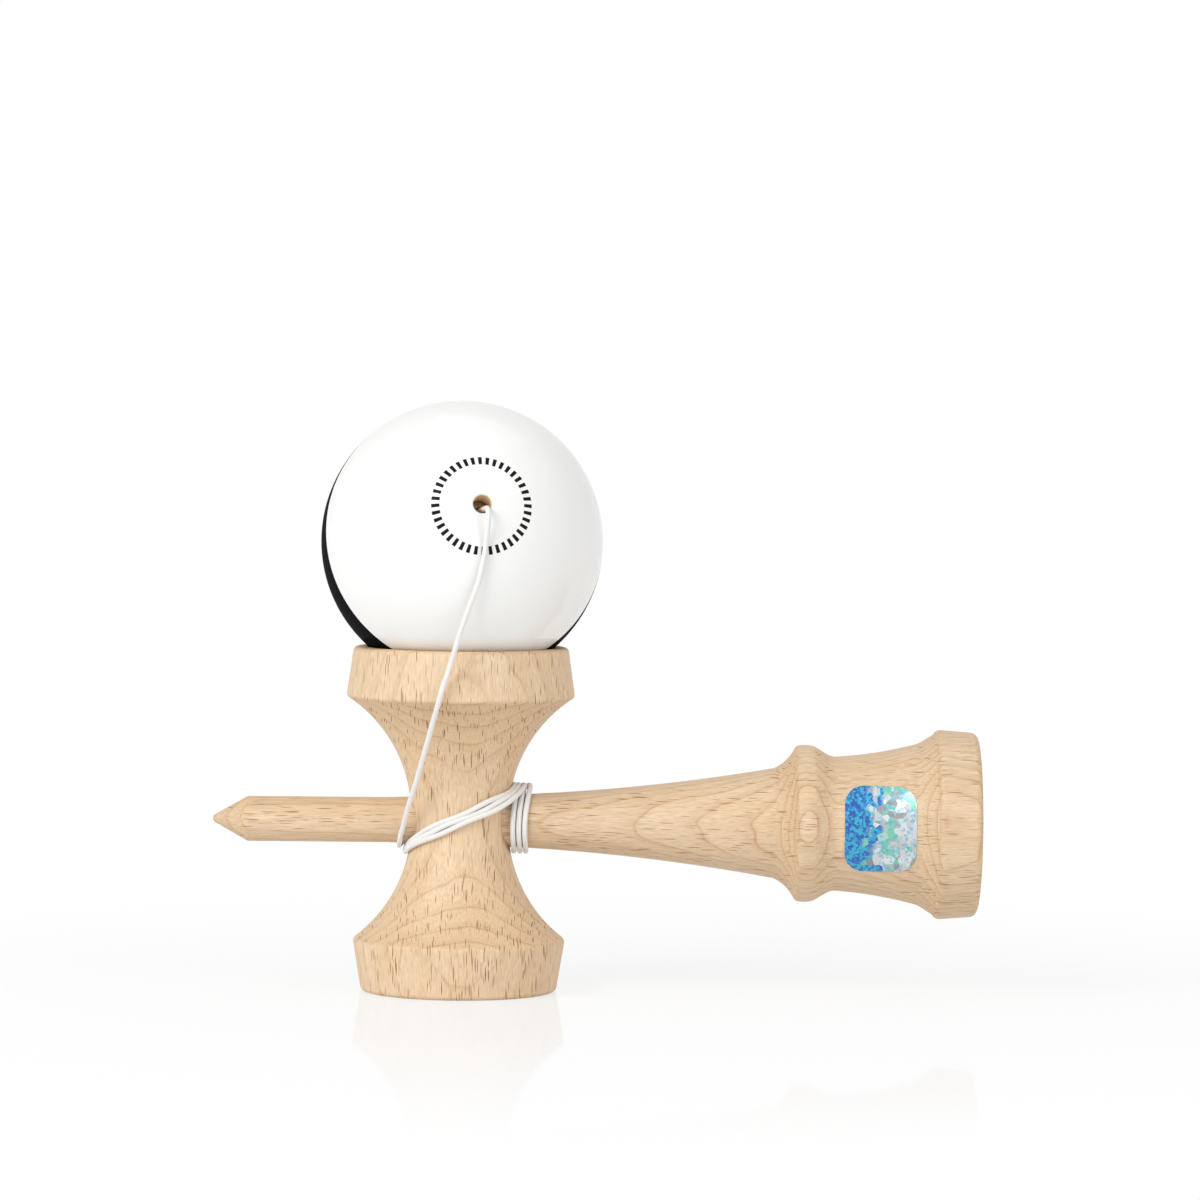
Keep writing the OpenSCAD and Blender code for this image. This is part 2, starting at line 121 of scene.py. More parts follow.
class KendamaSarado(PropertyGroup):
    """Sizes of the double cup."""

    height: length("Height", "Length of the double cup", 0.0735)
    waist: length("Waist", "Diameter of the waist", 0.0208)
    waist_len: length("Waist length", "Straight stretch at the waist", 0.0022)
    flare: length("Flare", "Radius of the hollow flare on both sides of the waist", 0.0302)
    big_ridge: length("Big ridge", "Diameter of the ridge under the big cup", 0.0487)
    big_rim: length("Big rim", "Outer diameter of the big cup's rim", 0.046)
    big_mouth: length("Big mouth", "Inner diameter of the big cup's rim", 0.0404)
    big_depth: length("Big depth", "Depth of the big cup", 0.009)
    small_ridge: length("Small ridge", "Diameter of the ridge over the small cup", 0.0453)
    small_rim: length("Small rim", "Outer diameter of the small cup's rim", 0.042)
    small_mouth: length("Small mouth", "Inner diameter of the small cup's rim", 0.0356)
    small_depth: length("Small depth", "Depth of the small cup", 0.0075)
    rim_round: length("Rim round", "Rounding of the outer edge of each rim", 0.0011)
    ridge_round: length("Ridge round", "Rounding of the two ridges", 0.0006)
    lip_round: length("Lip round", "Rounding of the inner edge of each rim", 0.0003)
    seat_gap: length("Seat gap", "Gap all round the ken in its seat", 0.00005)
    string_hole: length("String hole", "Diameter of the string's hole in the waist", 0.0025)


class KendamaKen(PropertyGroup):
    """Sizes of the turned handle."""

    axis_height: length("Axis height", "Height of the ken's axis", 0.0364)
    spike_reach: length("Spike reach", "Distance of the spike's tip from the cups", 0.0526)
    spike: length("Spike", "Diameter of the spike", 0.0096)
    point: length("Point", "Length of the spike's pointed end", 0.0074)
    tip: length("Tip", "Radius of the rounded tip", 0.001)
    spike_taper: length("Spike taper", "Taper that shows on the spike's side", 0.0056)
    handle_taper: length("Handle taper", "Taper that shows on the handle's side", 0.002)
    handle_start: length("Handle start", "Diameter where the handle starts", 0.0113)
    handle_reach: length("Handle reach", "Distance of the handle's thick end", 0.067)
    handle_end: length("Handle end", "Diameter of the handle's thick end", 0.0235)
    handle_curve: length("Handle curve", "Radius of the handle's long hollow curve", 0.42)
    collar_hollow: length("Collar hollow", "Radius of the hollow at the collar", 0.0091)
    collar_reach: length("Collar reach", "Distance of the collar's crest", 0.0736)
    collar: length("Collar", "Diameter of the collar's crest", 0.0335)
    groove_reach: length("Groove reach", "Distance of the groove", 0.08)
    groove: length("Groove", "Diameter at the groove", 0.0286)
    neck_reach: length("Neck reach", "Distance to the end of the neck", 0.098)
    neck_end: length("Neck end", "Diameter at the end of the neck", 0.0346)
    neck_curve: length("Neck curve", "Radius of the neck's hollow curve", 0.089)
    ridge_reach: length("Ridge reach", "Distance of the base cup's ridge", 0.1024)
    ridge: length("Ridge", "Diameter of the base cup's ridge", 0.0404)
    base_reach: length("Base reach", "Distance of the base cup's rim", 0.1104)
    base_rim: length("Base rim", "Outer diameter of the base cup's rim", 0.0394)
    base_mouth: length("Base mouth", "Inner diameter of the base cup's rim", 0.033)
    base_depth: length("Base depth", "Depth of the base cup", 0.0075)
    edge_round: length("Edge round", "Rounding of the turned corners", 0.0006)
    string_hole: length("String hole", "Diameter of the string's hole", 0.0024)
    knot_pocket: length("Knot pocket", "Diameter of the pocket for the knot", 0.0046)
    knot_depth: length("Knot depth", "Depth of the pocket for the knot", 0.0034)


class KendamaString(PropertyGroup):
    """Sizes and colour of the string, its knots and its bead."""

    diameter: length("Diameter", "Diameter of the string", 0.00113)
    gap: length("Gap", "Gap between the string and what it lies on", 0.00012)
    pitch: length("Pitch", "Distance between strands that lie side by side", 0.00114)
    cup_turns: IntProperty(name="Cup turns", description="Turns across the cups",
                           default=3, min=1)
    handle_turns: IntProperty(name="Handle turns", description="Turns round the handle",
                              default=3, min=1)
    braid_pitch: length("Braid pitch", "Length of one stitch of the braid", 0.0011)
    braid_depth: length("Braid depth", "Depth of the braid's stitches", 0.00003)
    bead: length("Bead", "Diameter of the bead inside the ball", 0.008)
    bead_hole: length("Bead hole", "Diameter of the bead's hole", 0.0015)
    bead_round: length("Bead round", "Rounding of the bead's edges", 0.0002)
    bead_gap: length("Bead gap", "Gap between the bead and the end of its pocket", 0.0003)
    knot: length("Knot", "Size of the knots", 0.003)
    white: colour("White", "Colour of the string", (0.84, 0.835, 0.825))
    # The shade colour is painted shade in the grooves between the stitches.
    shade: colour("Shade", "Colour between the string's stitches", (0.70, 0.68, 0.64))


class KendamaLabel(PropertyGroup):
    """Sizes and colours of the foil label."""

    width: length("Width", "Length of the label along the ken", 0.015)
    height: length("Height", "Height of the label", 0.018)
    corner: length("Corner", "Radius of the label's corners", 0.004)
    thickness: length("Thickness", "Thickness of the foil", 0.00012)
    gap: length("Gap", "Gap between the foil and the wood", 0.00002)
    blue: colour("Blue", "Deep end of the foil", (0.015, 0.09, 0.42))
    teal: colour("Teal", "Middle of the foil", (0.03, 0.40, 0.58))
    mint: colour("Mint", "Green facets of the foil", (0.20, 0.52, 0.40))
    silver: colour("Silver", "Bright end of the foil", (0.66, 0.70, 0.72))


class KendamaWood(PropertyGroup):
    """Colours and grain of the beech."""

    light: colour("Light", "Pale wood", (0.795, 0.617, 0.437))
    # Warm colours the streaks and the end grain, and the end grain's warmth is partly painted
    # shade.
    warm: colour("Warm", "Warmer streaks", (0.70, 0.50, 0.30))
    line: colour("Line", "Growth lines", (0.50, 0.31, 0.165))
    fleck: colour("Fleck", "Short dark flecks along the grain", (0.22, 0.062, 0.013))
    ring_pitch: length("Ring pitch", "Distance between growth lines", 0.003)
    pith: length("Pith", "Distance from the piece to the tree's middle", 0.055)


class KendamaStage(PropertyGroup):
    """Camera, floor and light."""

    lens: FloatProperty(name="Lens", description="Focal length on a 36 mm sensor, in mm",
                        default=168.49)
    camera: FloatVectorProperty(name="Camera", description="Place of the camera",
                                default=(0.01288, -1.196, 0.133), subtype="XYZ", unit="LENGTH")
    pan: angle("Pan", "Turn of the camera to the right", 0.794)
    tilt: angle("Tilt", "Tilt of the camera below level", 2.359)
    roll: angle("Roll", "Roll of the camera", 0.581)
    floor: colour("Floor", "Colour of the floor", (0.74, 0.74, 0.74))
    ambient: FloatProperty(name="Ambient", description="Strength of the light from all round",
                           default=0.42)
    key: FloatProperty(name="Key", description="Power of the soft lamp on the left, in watts",
                       default=15.0)
    fill: FloatProperty(name="Fill", description="Power of the soft lamp on the right, in watts",
                        default=5.6)
    top: FloatProperty(name="Top", description="Power of the soft lamp overhead, in watts",
                       default=1.0)


class KendamaSettings(PropertyGroup):
    """All the settings of the toy and its stage."""

    tama: PointerProperty(type=KendamaTama)
    sarado: PointerProperty(type=KendamaSarado)
    ken: PointerProperty(type=KendamaKen)
    string: PointerProperty(type=KendamaString)
    label: PointerProperty(type=KendamaLabel)
    wood: PointerProperty(type=KendamaWood)
    stage: PointerProperty(type=KendamaStage)


# Places that several pieces share


def settings():
    """The scene's kendama settings."""
    return bpy.context.scene.kendama


def tama_centre():
    """Middle of the ball, which rests on a circle of the big mouth's size."""
    tama, sarado = settings().tama, settings().sarado
    seat = tama.diameter / 2 + tama.seat_gap
    return Vector((0, 0, sarado.height + math.sqrt(seat ** 2 - (sarado.big_mouth / 2) ** 2)))


def hole_turning():
    """Turn that takes +Z to the axis of the ball's holes, towards the string hole."""
    tama = settings().tama
    return Euler((RIGHT_ANGLE - tama.hole_tilt, 0, tama.hole_turn))


def on_hole_axis():
    """Placement whose +Z is the axis of the ball's holes, with its zero in the ball's middle."""
    return Matrix.Translation(tama_centre()) @ hole_turning().to_matrix().to_4x4()


def along_ken():
    """Placement whose +Z is the ken's axis, with its zero on the cups' axis."""
    rise = Matrix.Translation((0, 0, settings().ken.axis_height))
    return rise @ Matrix.Rotation(RIGHT_ANGLE, 4, "Y")


def across_ken():
    """Placement whose +Z points to the front, with its zero where the ken meets the cups."""
    rise = Matrix.Translation((0, 0, settings().ken.axis_height))
    return rise @ Matrix.Rotation(RIGHT_ANGLE, 4, "X")


def mouth_s():
    """Place of the spike hole's mouth along the hole's axis."""
    tama = settings().tama
    return -math.sqrt((tama.diameter / 2) ** 2 - (tama.spike_hole / 2) ** 2)


def pocket_end_s():
    """Place of the end of the bead's pocket along the hole's axis."""
    tama = settings().tama
    return mouth_s() + tama.spike_depth + tama.pocket_depth


def seat_ends():
    """Where the ken's tapered seat starts and ends, from the cups' axis."""
    ken, waist = settings().ken, settings().sarado.waist / 2
    return -waist - ken.spike_taper, waist + ken.handle_taper


def seat_radius(x):
    """Radius of the ken in its seat."""
    ken = settings().ken
    start, end = seat_ends()
    share = (x - start) / (end - start)
    return ken.spike / 2 * (1 - share) + ken.handle_start / 2 * share


# Turned outlines


def arc(start, end, radius, steps):
    """Points on an arc between two (radius, height) points, turning left for a positive radius."""
    p, q = Vector(start), Vector(end)
    d = q - p
    left = Vector((-d.y, d.x)) / d.length
    reach = math.sqrt(radius * radius - d.length_squared / 4)
    centre = (p + q) / 2 + math.copysign(reach, radius) * left
    first = math.atan2(p.y - centre.y, p.x - centre.x)
    last = math.atan2(q.y - centre.y, q.x - centre.x)
    sweep = (last - first + math.pi) % FULL_TURN - math.pi
    turns = [first + sweep * i / steps for i in range(steps + 1)]
    return [(centre.x + abs(radius) * math.cos(a), centre.y + abs(radius) * math.sin(a))
            for a in turns]


def dish_radius(mouth, depth):
    """Radius of a ball-shaped hollow with that mouth and depth."""
    return ((mouth / 2) ** 2 + depth * depth) / (2 * depth)


def joined(*runs):
    """One outline from runs of points, leaving out points that repeat."""
    outline = []
    for point in (p for run in runs for p in run):
        if not outline or math.dist(point, outline[-1]) > MERGE_DISTANCE:
            outline.append(point)
    return outline


def mesh_object(name, bm):
    """A new object at the origin from a bmesh, smooth but for its sharp edges."""
    mesh = bpy.data.meshes.new(name)
    bm.to_mesh(mesh)
    bm.free()
    piece = bpy.data.objects.new(name, mesh)
    bpy.context.scene.collection.objects.link(piece)
    smooth(piece)
    return piece


def smooth(piece):
    """Smooth shading with sharp edges where the surface turns a corner."""
    piece.data.shade_smooth()
    piece.data.set_sharp_from_angle(angle=SHARP_ANGLE)


def turned(outline, rounds, place, steps, closed=False):
    """A bmesh of an outline spun about +Z, with chosen corners rounded, and then placed."""
    bm = bmesh.new()
    verts = [bm.verts.new((r, 0, h)) for r, h in outline]
    for pair in zip(verts, verts[1:] + verts[:1] if closed else verts[1:]):
        bm.edges.new(pair)
    for corner, size in rounds:
        near = min(bm.verts, key=lambda v: math.dist((v.co.x, v.co.z), corner))
        bmesh.ops.bevel(bm, geom=[near], offset=size, offset_type="OFFSET",
                        segments=ROUND_SEGMENTS, profile=0.5, affect="VERTICES", material=-1)
    bmesh.ops.spin(bm, geom=bm.verts[:] + bm.edges[:], cent=(0, 0, 0), axis=(0, 0, 1),
                   angle=FULL_TURN, steps=steps, use_merge=True)
    bmesh.ops.remove_doubles(bm, verts=bm.verts, dist=MERGE_DISTANCE)
    bmesh.ops.recalc_face_normals(bm, faces=bm.faces)
    bmesh.ops.transform(bm, matrix=place, verts=bm.verts)
    return bm


def cut(piece, cutter):
    """Takes a solid out of a piece for good."""
    tool = mesh_object(piece.name + "_cutter", cutter)
    modifier = piece.modifiers.new("cut", "BOOLEAN")
    modifier.object = tool
    modifier.solver = "EXACT"
    mesh = bpy.data.meshes.new_from_object(
        piece.evaluated_get(bpy.context.evaluated_depsgraph_get()))
    piece.modifiers.clear()
    old, piece.data = piece.data, mesh
    bpy.data.meshes.remove(old)
    bpy.data.objects.remove(tool)
    smooth(piece)


def bar(place, start, end, radius, end_radius=None, steps=BAR_STEPS):
    """A bmesh of a round bar, or a tapered one, along a placement's +Z."""
    bm = bmesh.new()
    bmesh.ops.create_cone(bm, cap_ends=True, segments=steps, radius1=radius,
                          radius2=radius if end_radius is None else end_radius,
                          depth=end - start)
    middle = Matrix.Translation((0, 0, (start + end) / 2))
    bmesh.ops.transform(bm, matrix=place @ middle, verts=bm.verts)
    return bm


# Shader helpers


def new_material(name):
    """A node material, its node helper and its Principled shader."""
    material = bpy.data.materials.new(name)
    material.use_nodes = True
    tree = material.node_tree
    return material, Nodes(tree), tree.nodes["Principled BSDF"]


class Nodes:
    """Short calls that add linked nodes to one tree."""

    def __init__(self, tree):
        self.tree = tree

    def feed(self, node, inputs):
        """Links or sets each of a node's inputs that is named."""
        for key, value in dict(inputs).items():
            if isinstance(value, bpy.types.NodeSocket):
                self.tree.links.new(value, node.inputs[key])
            else:
                node.inputs[key].default_value = value

    def add(self, kind, inputs=(), **values):
        """A node with its settings and with each input linked or set."""
        node = self.tree.nodes.new(kind)
        for key, value in values.items():
            setattr(node, key, value)
        self.feed(node, inputs)
        return node

    def math(self, operation, a, b=0.0, c=0.0, clamp=False):
        """The result of a Math node."""
        return self.add("ShaderNodeMath", {0: a, 1: b, 2: c}, operation=operation,
                        use_clamp=clamp).outputs[0]

    def times(self, value, gain, start=0.0, clamp=False):
        """A value times a gain, and then with a start added."""
        return self.math("MULTIPLY_ADD", value, gain, start, clamp)

    def product(self, a, b):
        """Two values multiplied."""
        return self.math("MULTIPLY", a, b)

    def vector(self, operation, a, b=(0, 0, 0)):
        """The vector from a Vector Math node."""
        return self.add("ShaderNodeVectorMath", {0: a, 1: b}, operation=operation).outputs[0]

    def scaled(self, place, scale):
        """A place times one number."""
        return self.add("ShaderNodeVectorMath", {0: place, "Scale": scale},
                        operation="SCALE").outputs[0]

    def size(self, a):
        """The length of a vector."""
        return self.add("ShaderNodeVectorMath", {0: a}, operation="LENGTH").outputs["Value"]

    def axes(self, place):
        """The three parts of a vector."""
        return self.add("ShaderNodeSeparateXYZ", {0: place}).outputs

    def smoothed(self, value, low, high):
        """A smooth step from 0 at low to 1 at high."""
        return self.add("ShaderNodeMapRange", {"Value": value, "From Min": low, "From Max": high},
                        interpolation_type="SMOOTHSTEP").outputs["Result"]

    def mix(self, share, a, b, blend="MIX"):
        """A mix of two colours."""
        return self.add("ShaderNodeMix", {0: share, 6: a, 7: b}, data_type="RGBA",
                        blend_type=blend).outputs[2]

    def noise(self, place, stretch, detail):
        """The value of a noise texture on a place that is stretched along each axis."""
        return self.add("ShaderNodeTexNoise", {"Vector": self.vector("MULTIPLY", place, stretch),
                                               "Scale": 1.0, "Detail": detail},
                        noise_dimensions="3D").outputs["Fac"]

    def cells(self, place, stretch, distance="EUCLIDEAN"):
        """The distance and the three random values of a cell texture on a stretched place."""
        node = self.add("ShaderNodeTexVoronoi", {"Vector": self.vector("MULTIPLY", place, stretch),
                                                 "Scale": 1.0}, distance=distance)
        chances = self.add("ShaderNodeSeparateColor", {"Color": node.outputs["Color"]}).outputs
        return node.outputs["Distance"], chances

    def ramp(self, value, stops):
        """A curve of grey values over 0 to 1."""
        node = self.add("ShaderNodeValToRGB", {"Fac": value})
        while len(node.color_ramp.elements) < len(stops):
            node.color_ramp.elements.new(1.0)
        for element, (place, grey) in zip(node.color_ramp.elements, stops):
            element.position = place
            element.color = (grey, grey, grey, 1)
        return node.outputs["Color"]

    def bump(self, height, strength, distance=RELIEF):
        """The normal of a surface with fine relief."""
        return self.add("ShaderNodeBump", {"Height": height, "Strength": strength,
                                           "Distance": distance}).outputs["Normal"]


def opaque(rgb):
    """A colour with its alpha."""
    return (*rgb, 1.0)


def toned(rgb, tone):
    """A colour made paler or darker, with its alpha."""
    return opaque([min(PALEST, tone * c) for c in rgb])


def new_group(name, inputs, outputs):
    """A shader node group with named sockets, its node helper, and its two ends."""
    tree = bpy.data.node_groups.new(name, "ShaderNodeTree")
    for label, kind, default in inputs:
        socket = tree.interface.new_socket(label, in_out="INPUT", socket_type=kind)
        if default is not None:
            socket.default_value = default
    for label, kind in outputs:
        tree.interface.new_socket(label, in_out="OUTPUT", socket_type=kind)
    nodes = Nodes(tree)
    return tree, nodes, nodes.add("NodeGroupInput").outputs, nodes.add("NodeGroupOutput")


# Beech, with its patterns in millimetres and its grain along +Z

FLECK_SHARE = 0.8
LINE_SHARE = 0.6


def growth_lines(n, place, given, across):
    """Lines round the tree's distant middle, wavering along the grain, and their strength."""
    waver_stretch, waver_reach = (0.07, 0.07, 0.02), 3.6
    patch_stretch, end_grain_gain = (0.2, 0.2, 0.05), 1.1
    stops = [(0.0, 0.25), (0.12, 0.0), (0.60, 0.06), (0.90, 0.35), (0.97, 1.0), (1.0, 0.4)]
    pith = n.add("ShaderNodeCombineXYZ", {"Y": given["Pith"]}).outputs[0]
    far = n.size(n.vector("SUBTRACT", n.vector("MULTIPLY", place, (1, 1, 0)), pith))
    far = n.times(n.noise(place, waver_stretch, detail=2.0), waver_reach, far)
    line = n.ramp(n.math("FRACT", n.math("DIVIDE", far, given["Ring Pitch"])), stops)
    strength = n.product(n.noise(place, patch_stretch, detail=1.0),
                         n.times(across, end_grain_gain, given["Line Share"]))
    return line, strength


def ray_flecks(n, place, sideways):
    """Rays: thin leaves across the growth lines, cut by the surface into short dark flecks."""
    lean_stretch, lean_reach = (0.25, 0.1, 0.06), 1.2
    leaf_size = (0.26, 4.0, 6.2)
    least_reach, more_reach, soft_edge = 0.18, 0.20, 0.6
    rare, common = 0.05, 0.60
    along_rays, across_rays, faded = 0.97, 0.75, 0.25
    lean = n.times(n.noise(place, lean_stretch, detail=1.0), lean_reach, -lean_reach / 2)
    shifted = n.vector("ADD", place, n.add("ShaderNodeCombineXYZ", {"X": lean}).outputs[0])
    near, chance = n.cells(shifted, [1 / size for size in leaf_size])
    reach = n.times(chance[0], more_reach, least_reach)
    fleck = n.smoothed(n.math("DIVIDE", near, reach), 1.0, soft_edge)
    fleck = n.product(fleck, n.smoothed(chance[1], rare, common))
    # Where the surface lies along the rays, they show as broad pale leaves
    leaf = n.times(n.smoothed(sideways, along_rays, across_rays), 1 - faded, faded)
    return n.product(fleck, leaf)


def fine_flecks(n, place):
    """The smallest rays, which fill the spaces between the others."""
    leaf_size, outer, inner = (0.38, 3.0, 3.0), 0.24, 0.1
    near, chance = n.cells(place, [1 / size for size in leaf_size])
    return n.product(n.smoothed(near, outer, inner), chance[0])


def beech_group():
    """Beech: growth lines, short rays, fine fibres, broad tone, and warmer end grain that is partly
    painted shade.
    """
    found = bpy.data.node_groups.get("Beech")
    if found:
        return found
    wood = settings().wood
    tree, n, given, out = new_group(
        "Beech",
        [("Place", "NodeSocketVector", None), ("Facing", "NodeSocketVector", None),
         ("Light", "NodeSocketColor", opaque(wood.light)),
         ("Warm", "NodeSocketColor", opaque(wood.warm)),
         ("Line", "NodeSocketColor", opaque(wood.line)),
         ("Fleck", "NodeSocketColor", opaque(wood.fleck)),
         ("Ring Pitch", "NodeSocketFloat", wood.ring_pitch * MILLIMETRES),
         ("Pith", "NodeSocketFloat", wood.pith * MILLIMETRES),
         ("Fleck Share", "NodeSocketFloat", FLECK_SHARE),
         ("Line Share", "NodeSocketFloat", LINE_SHARE)],
        [("Color", "NodeSocketColor"), ("Roughness", "NodeSocketFloat"),
         ("Height", "NodeSocketFloat")],
    )
    fibre_stretch, tone_stretch = (3.2, 3.2, 0.16), (0.16, 0.16, 0.03)
    tone_gain, tone_start = 1.3, -0.15
    end_grain_shade_power, end_grain_shade_share, fine_share = 1.5, 0.9, 0.40
    shade_gain, shade_start = 0.56, 0.73
    rough_gain, rough_start, fleck_rough = 0.16, 0.46, 0.12
    fibre_height, fleck_height, line_height = 0.25, -0.8, -0.12

    place = n.scaled(given["Place"], MILLIMETRES)
    facing = n.axes(n.vector("ABSOLUTE", given["Facing"]))
    across = facing[2]
    line, line_strength = growth_lines(n, place, given, across)
    fleck, fine = ray_flecks(n, place, facing[0]), fine_flecks(n, place)
    fibre = n.noise(place, fibre_stretch, detail=3.0)
    tone = n.noise(place, tone_stretch, detail=2.0)
    shade = n.times(fibre, shade_gain, shade_start)
    grey = n.add("ShaderNodeCombineColor", {0: shade, 1: shade, 2: shade}).outputs[0]

    body = n.mix(n.times(tone, tone_gain, tone_start, clamp=True), given["Light"], given["Warm"])
    # Surfaces that face along the grain, such as the flares and the undersides of the ridges, turn
    # warmer: partly real end grain, partly painted warm shade.
    body = n.mix(n.product(n.math("POWER", across, end_grain_shade_power), end_grain_shade_share), body, given["Warm"])
    body = n.mix(n.product(line, line_strength), body, given["Line"])
    body = n.mix(1.0, body, grey, blend="MULTIPLY")
    body = n.mix(n.product(fine, fine_share), body, given["Fleck"])
    body = n.mix(n.product(fleck, given["Fleck Share"]), body, given["Fleck"])
    height = n.times(fibre, fibre_height, n.product(fleck, fleck_height))
    n.feed(out, {
        "Color": body,
        "Roughness": n.times(fleck, fleck_rough, n.times(fibre, rough_gain, rough_start)),
        "Height": n.times(line, line_height, height),
    })
    return tree


def wood_material(name, grain_turn, offset, fleck_share=FLECK_SHARE, tone=1.0,
                  line_share=LINE_SHARE, ring_share=1.0):
    """Beech whose grain is turned from +Z, cut from its own place in the tree."""
    wood = settings().wood
    material, n, shader = new_material(name)
    where = n.add("ShaderNodeTexCoord").outputs
    place = n.add("ShaderNodeMapping", {"Vector": where["Object"], "Location": offset,
                                        "Rotation": grain_turn})
    facing = n.add("ShaderNodeMapping", {"Vector": where["Normal"], "Rotation": grain_turn},
                   vector_type="NORMAL")
    beech = n.add("ShaderNodeGroup", node_tree=beech_group())
    n.feed(beech, {
        "Place": place.outputs[0], "Facing": facing.outputs[0],
        "Light": toned(wood.light, tone), "Warm": toned(wood.warm, tone),
        "Fleck Share": fleck_share, "Line Share": line_share,
        "Ring Pitch": ring_share * wood.ring_pitch * MILLIMETRES,
    })
    n.feed(shader, {
        "Base Color": beech.outputs["Color"], "Roughness": beech.outputs["Roughness"],
        "Normal": n.bump(beech.outputs["Height"], strength=0.35),
        "Specular IOR Level": 0.32,
    })
    return material


# Paint, braid and foil


def paint_material():
    """Two gloss paints that meet on a circle round the string hole, with a printed ring."""
    tama = settings().tama
    soft, wide_tick, narrow_tick = 0.00006, 0.27, 0.23
    cloud_stretch, grain_stretch = (90, 90, 90), (900, 900, 900)
    cloud_share, cloud_tone, cloud_rough = 0.5, 0.97, 0.03
    rough_start, ink_rough = 0.05, 0.12
    white_coat, ink_coat, least_coat = 0.95, -0.9, 0.04
    material, n, shader = new_material("Tama gloss paint")
    where = n.add("ShaderNodeTexCoord").outputs["Object"]
    local = n.add("ShaderNodeMapping", {"Vector": where, "Location": tama_centre(),
                                        "Rotation": hole_turning()},
                  vector_type="TEXTURE").outputs[0]
    axes = n.axes(local)
    front = n.smoothed(axes[2], tama.paint_line - soft, tama.paint_line + soft)
    ring = n.size(n.vector("MULTIPLY", local, (1, 1, 0)))
    band = n.product(n.smoothed(ring, tama.tick_inner - soft, tama.tick_inner + soft),
                     n.smoothed(ring, tama.tick_outer + soft, tama.tick_outer - soft))
    turn = n.math("ARCTAN2", axes[1], axes[0])
    step = n.math("PINGPONG", n.product(turn, tama.tick_count / FULL_TURN), 0.5)
    tick = n.smoothed(step, wide_tick, narrow_tick)
    ink = n.product(n.product(band, tick), front)
    cloud = n.noise(local, cloud_stretch, detail=2.0)
    white = n.mix(n.product(cloud, cloud_share), opaque(tama.white),
                  opaque([cloud_tone * c for c in tama.white]))
    paint = n.mix(front, opaque(tama.black), white)
    rough = n.times(cloud, cloud_rough, n.product(ink, ink_rough))
    coat = n.product(front, n.times(ink, ink_coat, white_coat))
    n.feed(shader, {
        "Base Color": n.mix(ink, paint, opaque(tama.ink)),
        "Roughness": n.math("ADD", rough, rough_start),
        "Normal": n.bump(n.noise(local, grain_stretch, detail=2.0), strength=0.02),
        "Coat Weight": n.math("ADD", coat, least_coat), "Coat Roughness": 0.04,
        "Specular IOR Level": 0.0,
    })
    return material


def string_material():
    """White braid that follows the string's own UV map, with painted shade in the grooves between
    its stitches.
    """
    found = bpy.data.materials.get("String braid")
    if found:
        return found
    string = settings().string
    ridge, valley, groove_share = 0.45, 0.05, 0.55
    fibre_stretch, fibre_share = (26.0, 2.2, 0.0), 0.25
    rough_gain, rough_start, fibre_height = 0.2, 0.55, 0.4
    material, n, shader = new_material("String braid")
    place = n.add("ShaderNodeUVMap", uv_map="Braid").outputs[0]
    axes = n.axes(place)
    around = n.product(axes[0], STITCHES_AROUND * FULL_TURN)
    along = n.product(axes[1], FULL_TURN)
    stitch = n.product(n.math("SINE", n.math("ADD", around, along)),
                       n.math("SINE", n.math("SUBTRACT", around, along)))
    # The grooves between the stitches take the shade colour as painted shade, and the fibre noise
    # adds the string's own tone.
    groove = n.smoothed(n.math("ABSOLUTE", stitch), ridge, valley)
    fibres = n.noise(place, fibre_stretch, detail=2.0)
    groove_shade_and_fibre_tone = n.times(groove, groove_share, n.product(fibres, fibre_share))
    height = n.times(fibres, fibre_height, n.product(groove, -1.0))
    n.feed(shader, {
        "Base Color": n.mix(groove_shade_and_fibre_tone, opaque(string.white), opaque(string.shade)),
        "Roughness": n.times(fibres, rough_gain, rough_start),
        "Normal": n.bump(height, strength=0.4, distance=RELIEF / 2),
        "Sheen Weight": 0.2, "Specular IOR Level": 0.3,
    })
    return material


def foil_material():
    """Metallised film with blue, teal, mint and silver facets."""
    label = settings().label
    facet_stretch, chip_stretch = (0.62, 0.62, 0.62), (1.7, 1.7, 1.7)
    ragged, deep_end, bright_start = 0.35, 0.36, 0.44
    grey_tone, grey_power = 0.35, 1.5
    rough_gain, rough_start = 0.16, 0.16
    teal_chips, mint_facets, teal_specks, speck_share = (0.25, 0.8), (0.66, 0.72), (0.7, 0.8), 0.6
    material, n, shader = new_material("Label foil")
    place = n.scaled(n.add("ShaderNodeTexCoord").outputs["Object"], MILLIMETRES)
    _, facet = n.cells(place, facet_stretch)
    _, chip = n.cells(place, chip_stretch, "CHEBYCHEV")
    middle, width = label_middle() * MILLIMETRES, label.width * MILLIMETRES
    run = n.math("DIVIDE", n.math("SUBTRACT", n.axes(place)[0], middle - width / 2), width)
    run = n.times(n.math("SUBTRACT", facet[0], 0.5), ragged, run)
    deep = n.mix(n.smoothed(chip[0], *teal_chips), opaque(label.blue), opaque(label.teal))
    grey = opaque([grey_tone * c for c in label.silver])
    bright = n.mix(n.math("POWER", facet[1], grey_power), opaque(label.silver), grey)
    bright = n.mix(n.smoothed(facet[2], *mint_facets), bright, opaque(label.mint))
    specks = n.product(n.smoothed(chip[1], *teal_specks), speck_share)
    bright = n.mix(specks, bright, opaque(label.teal))
    n.feed(shader, {
        "Base Color": n.mix(n.smoothed(run, deep_end, bright_start), deep, bright),
        "Roughness": n.times(chip[2], rough_gain, rough_start),
        "Normal": n.bump(facet[2], strength=0.15),
        "Metallic": 0.4, "Coat Weight": 0.5,
    })
    return material


def finish_piece(piece, body, nodes, materials=()):
    """Gives a piece its finish, hides the imported parts that it stands in for, and ties it to the
    body that it moves with, if any.
    """
    for material in materials:
        piece.data.materials.append(material)
    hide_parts(*nodes)
    if body:
        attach(piece, body)
    return piece
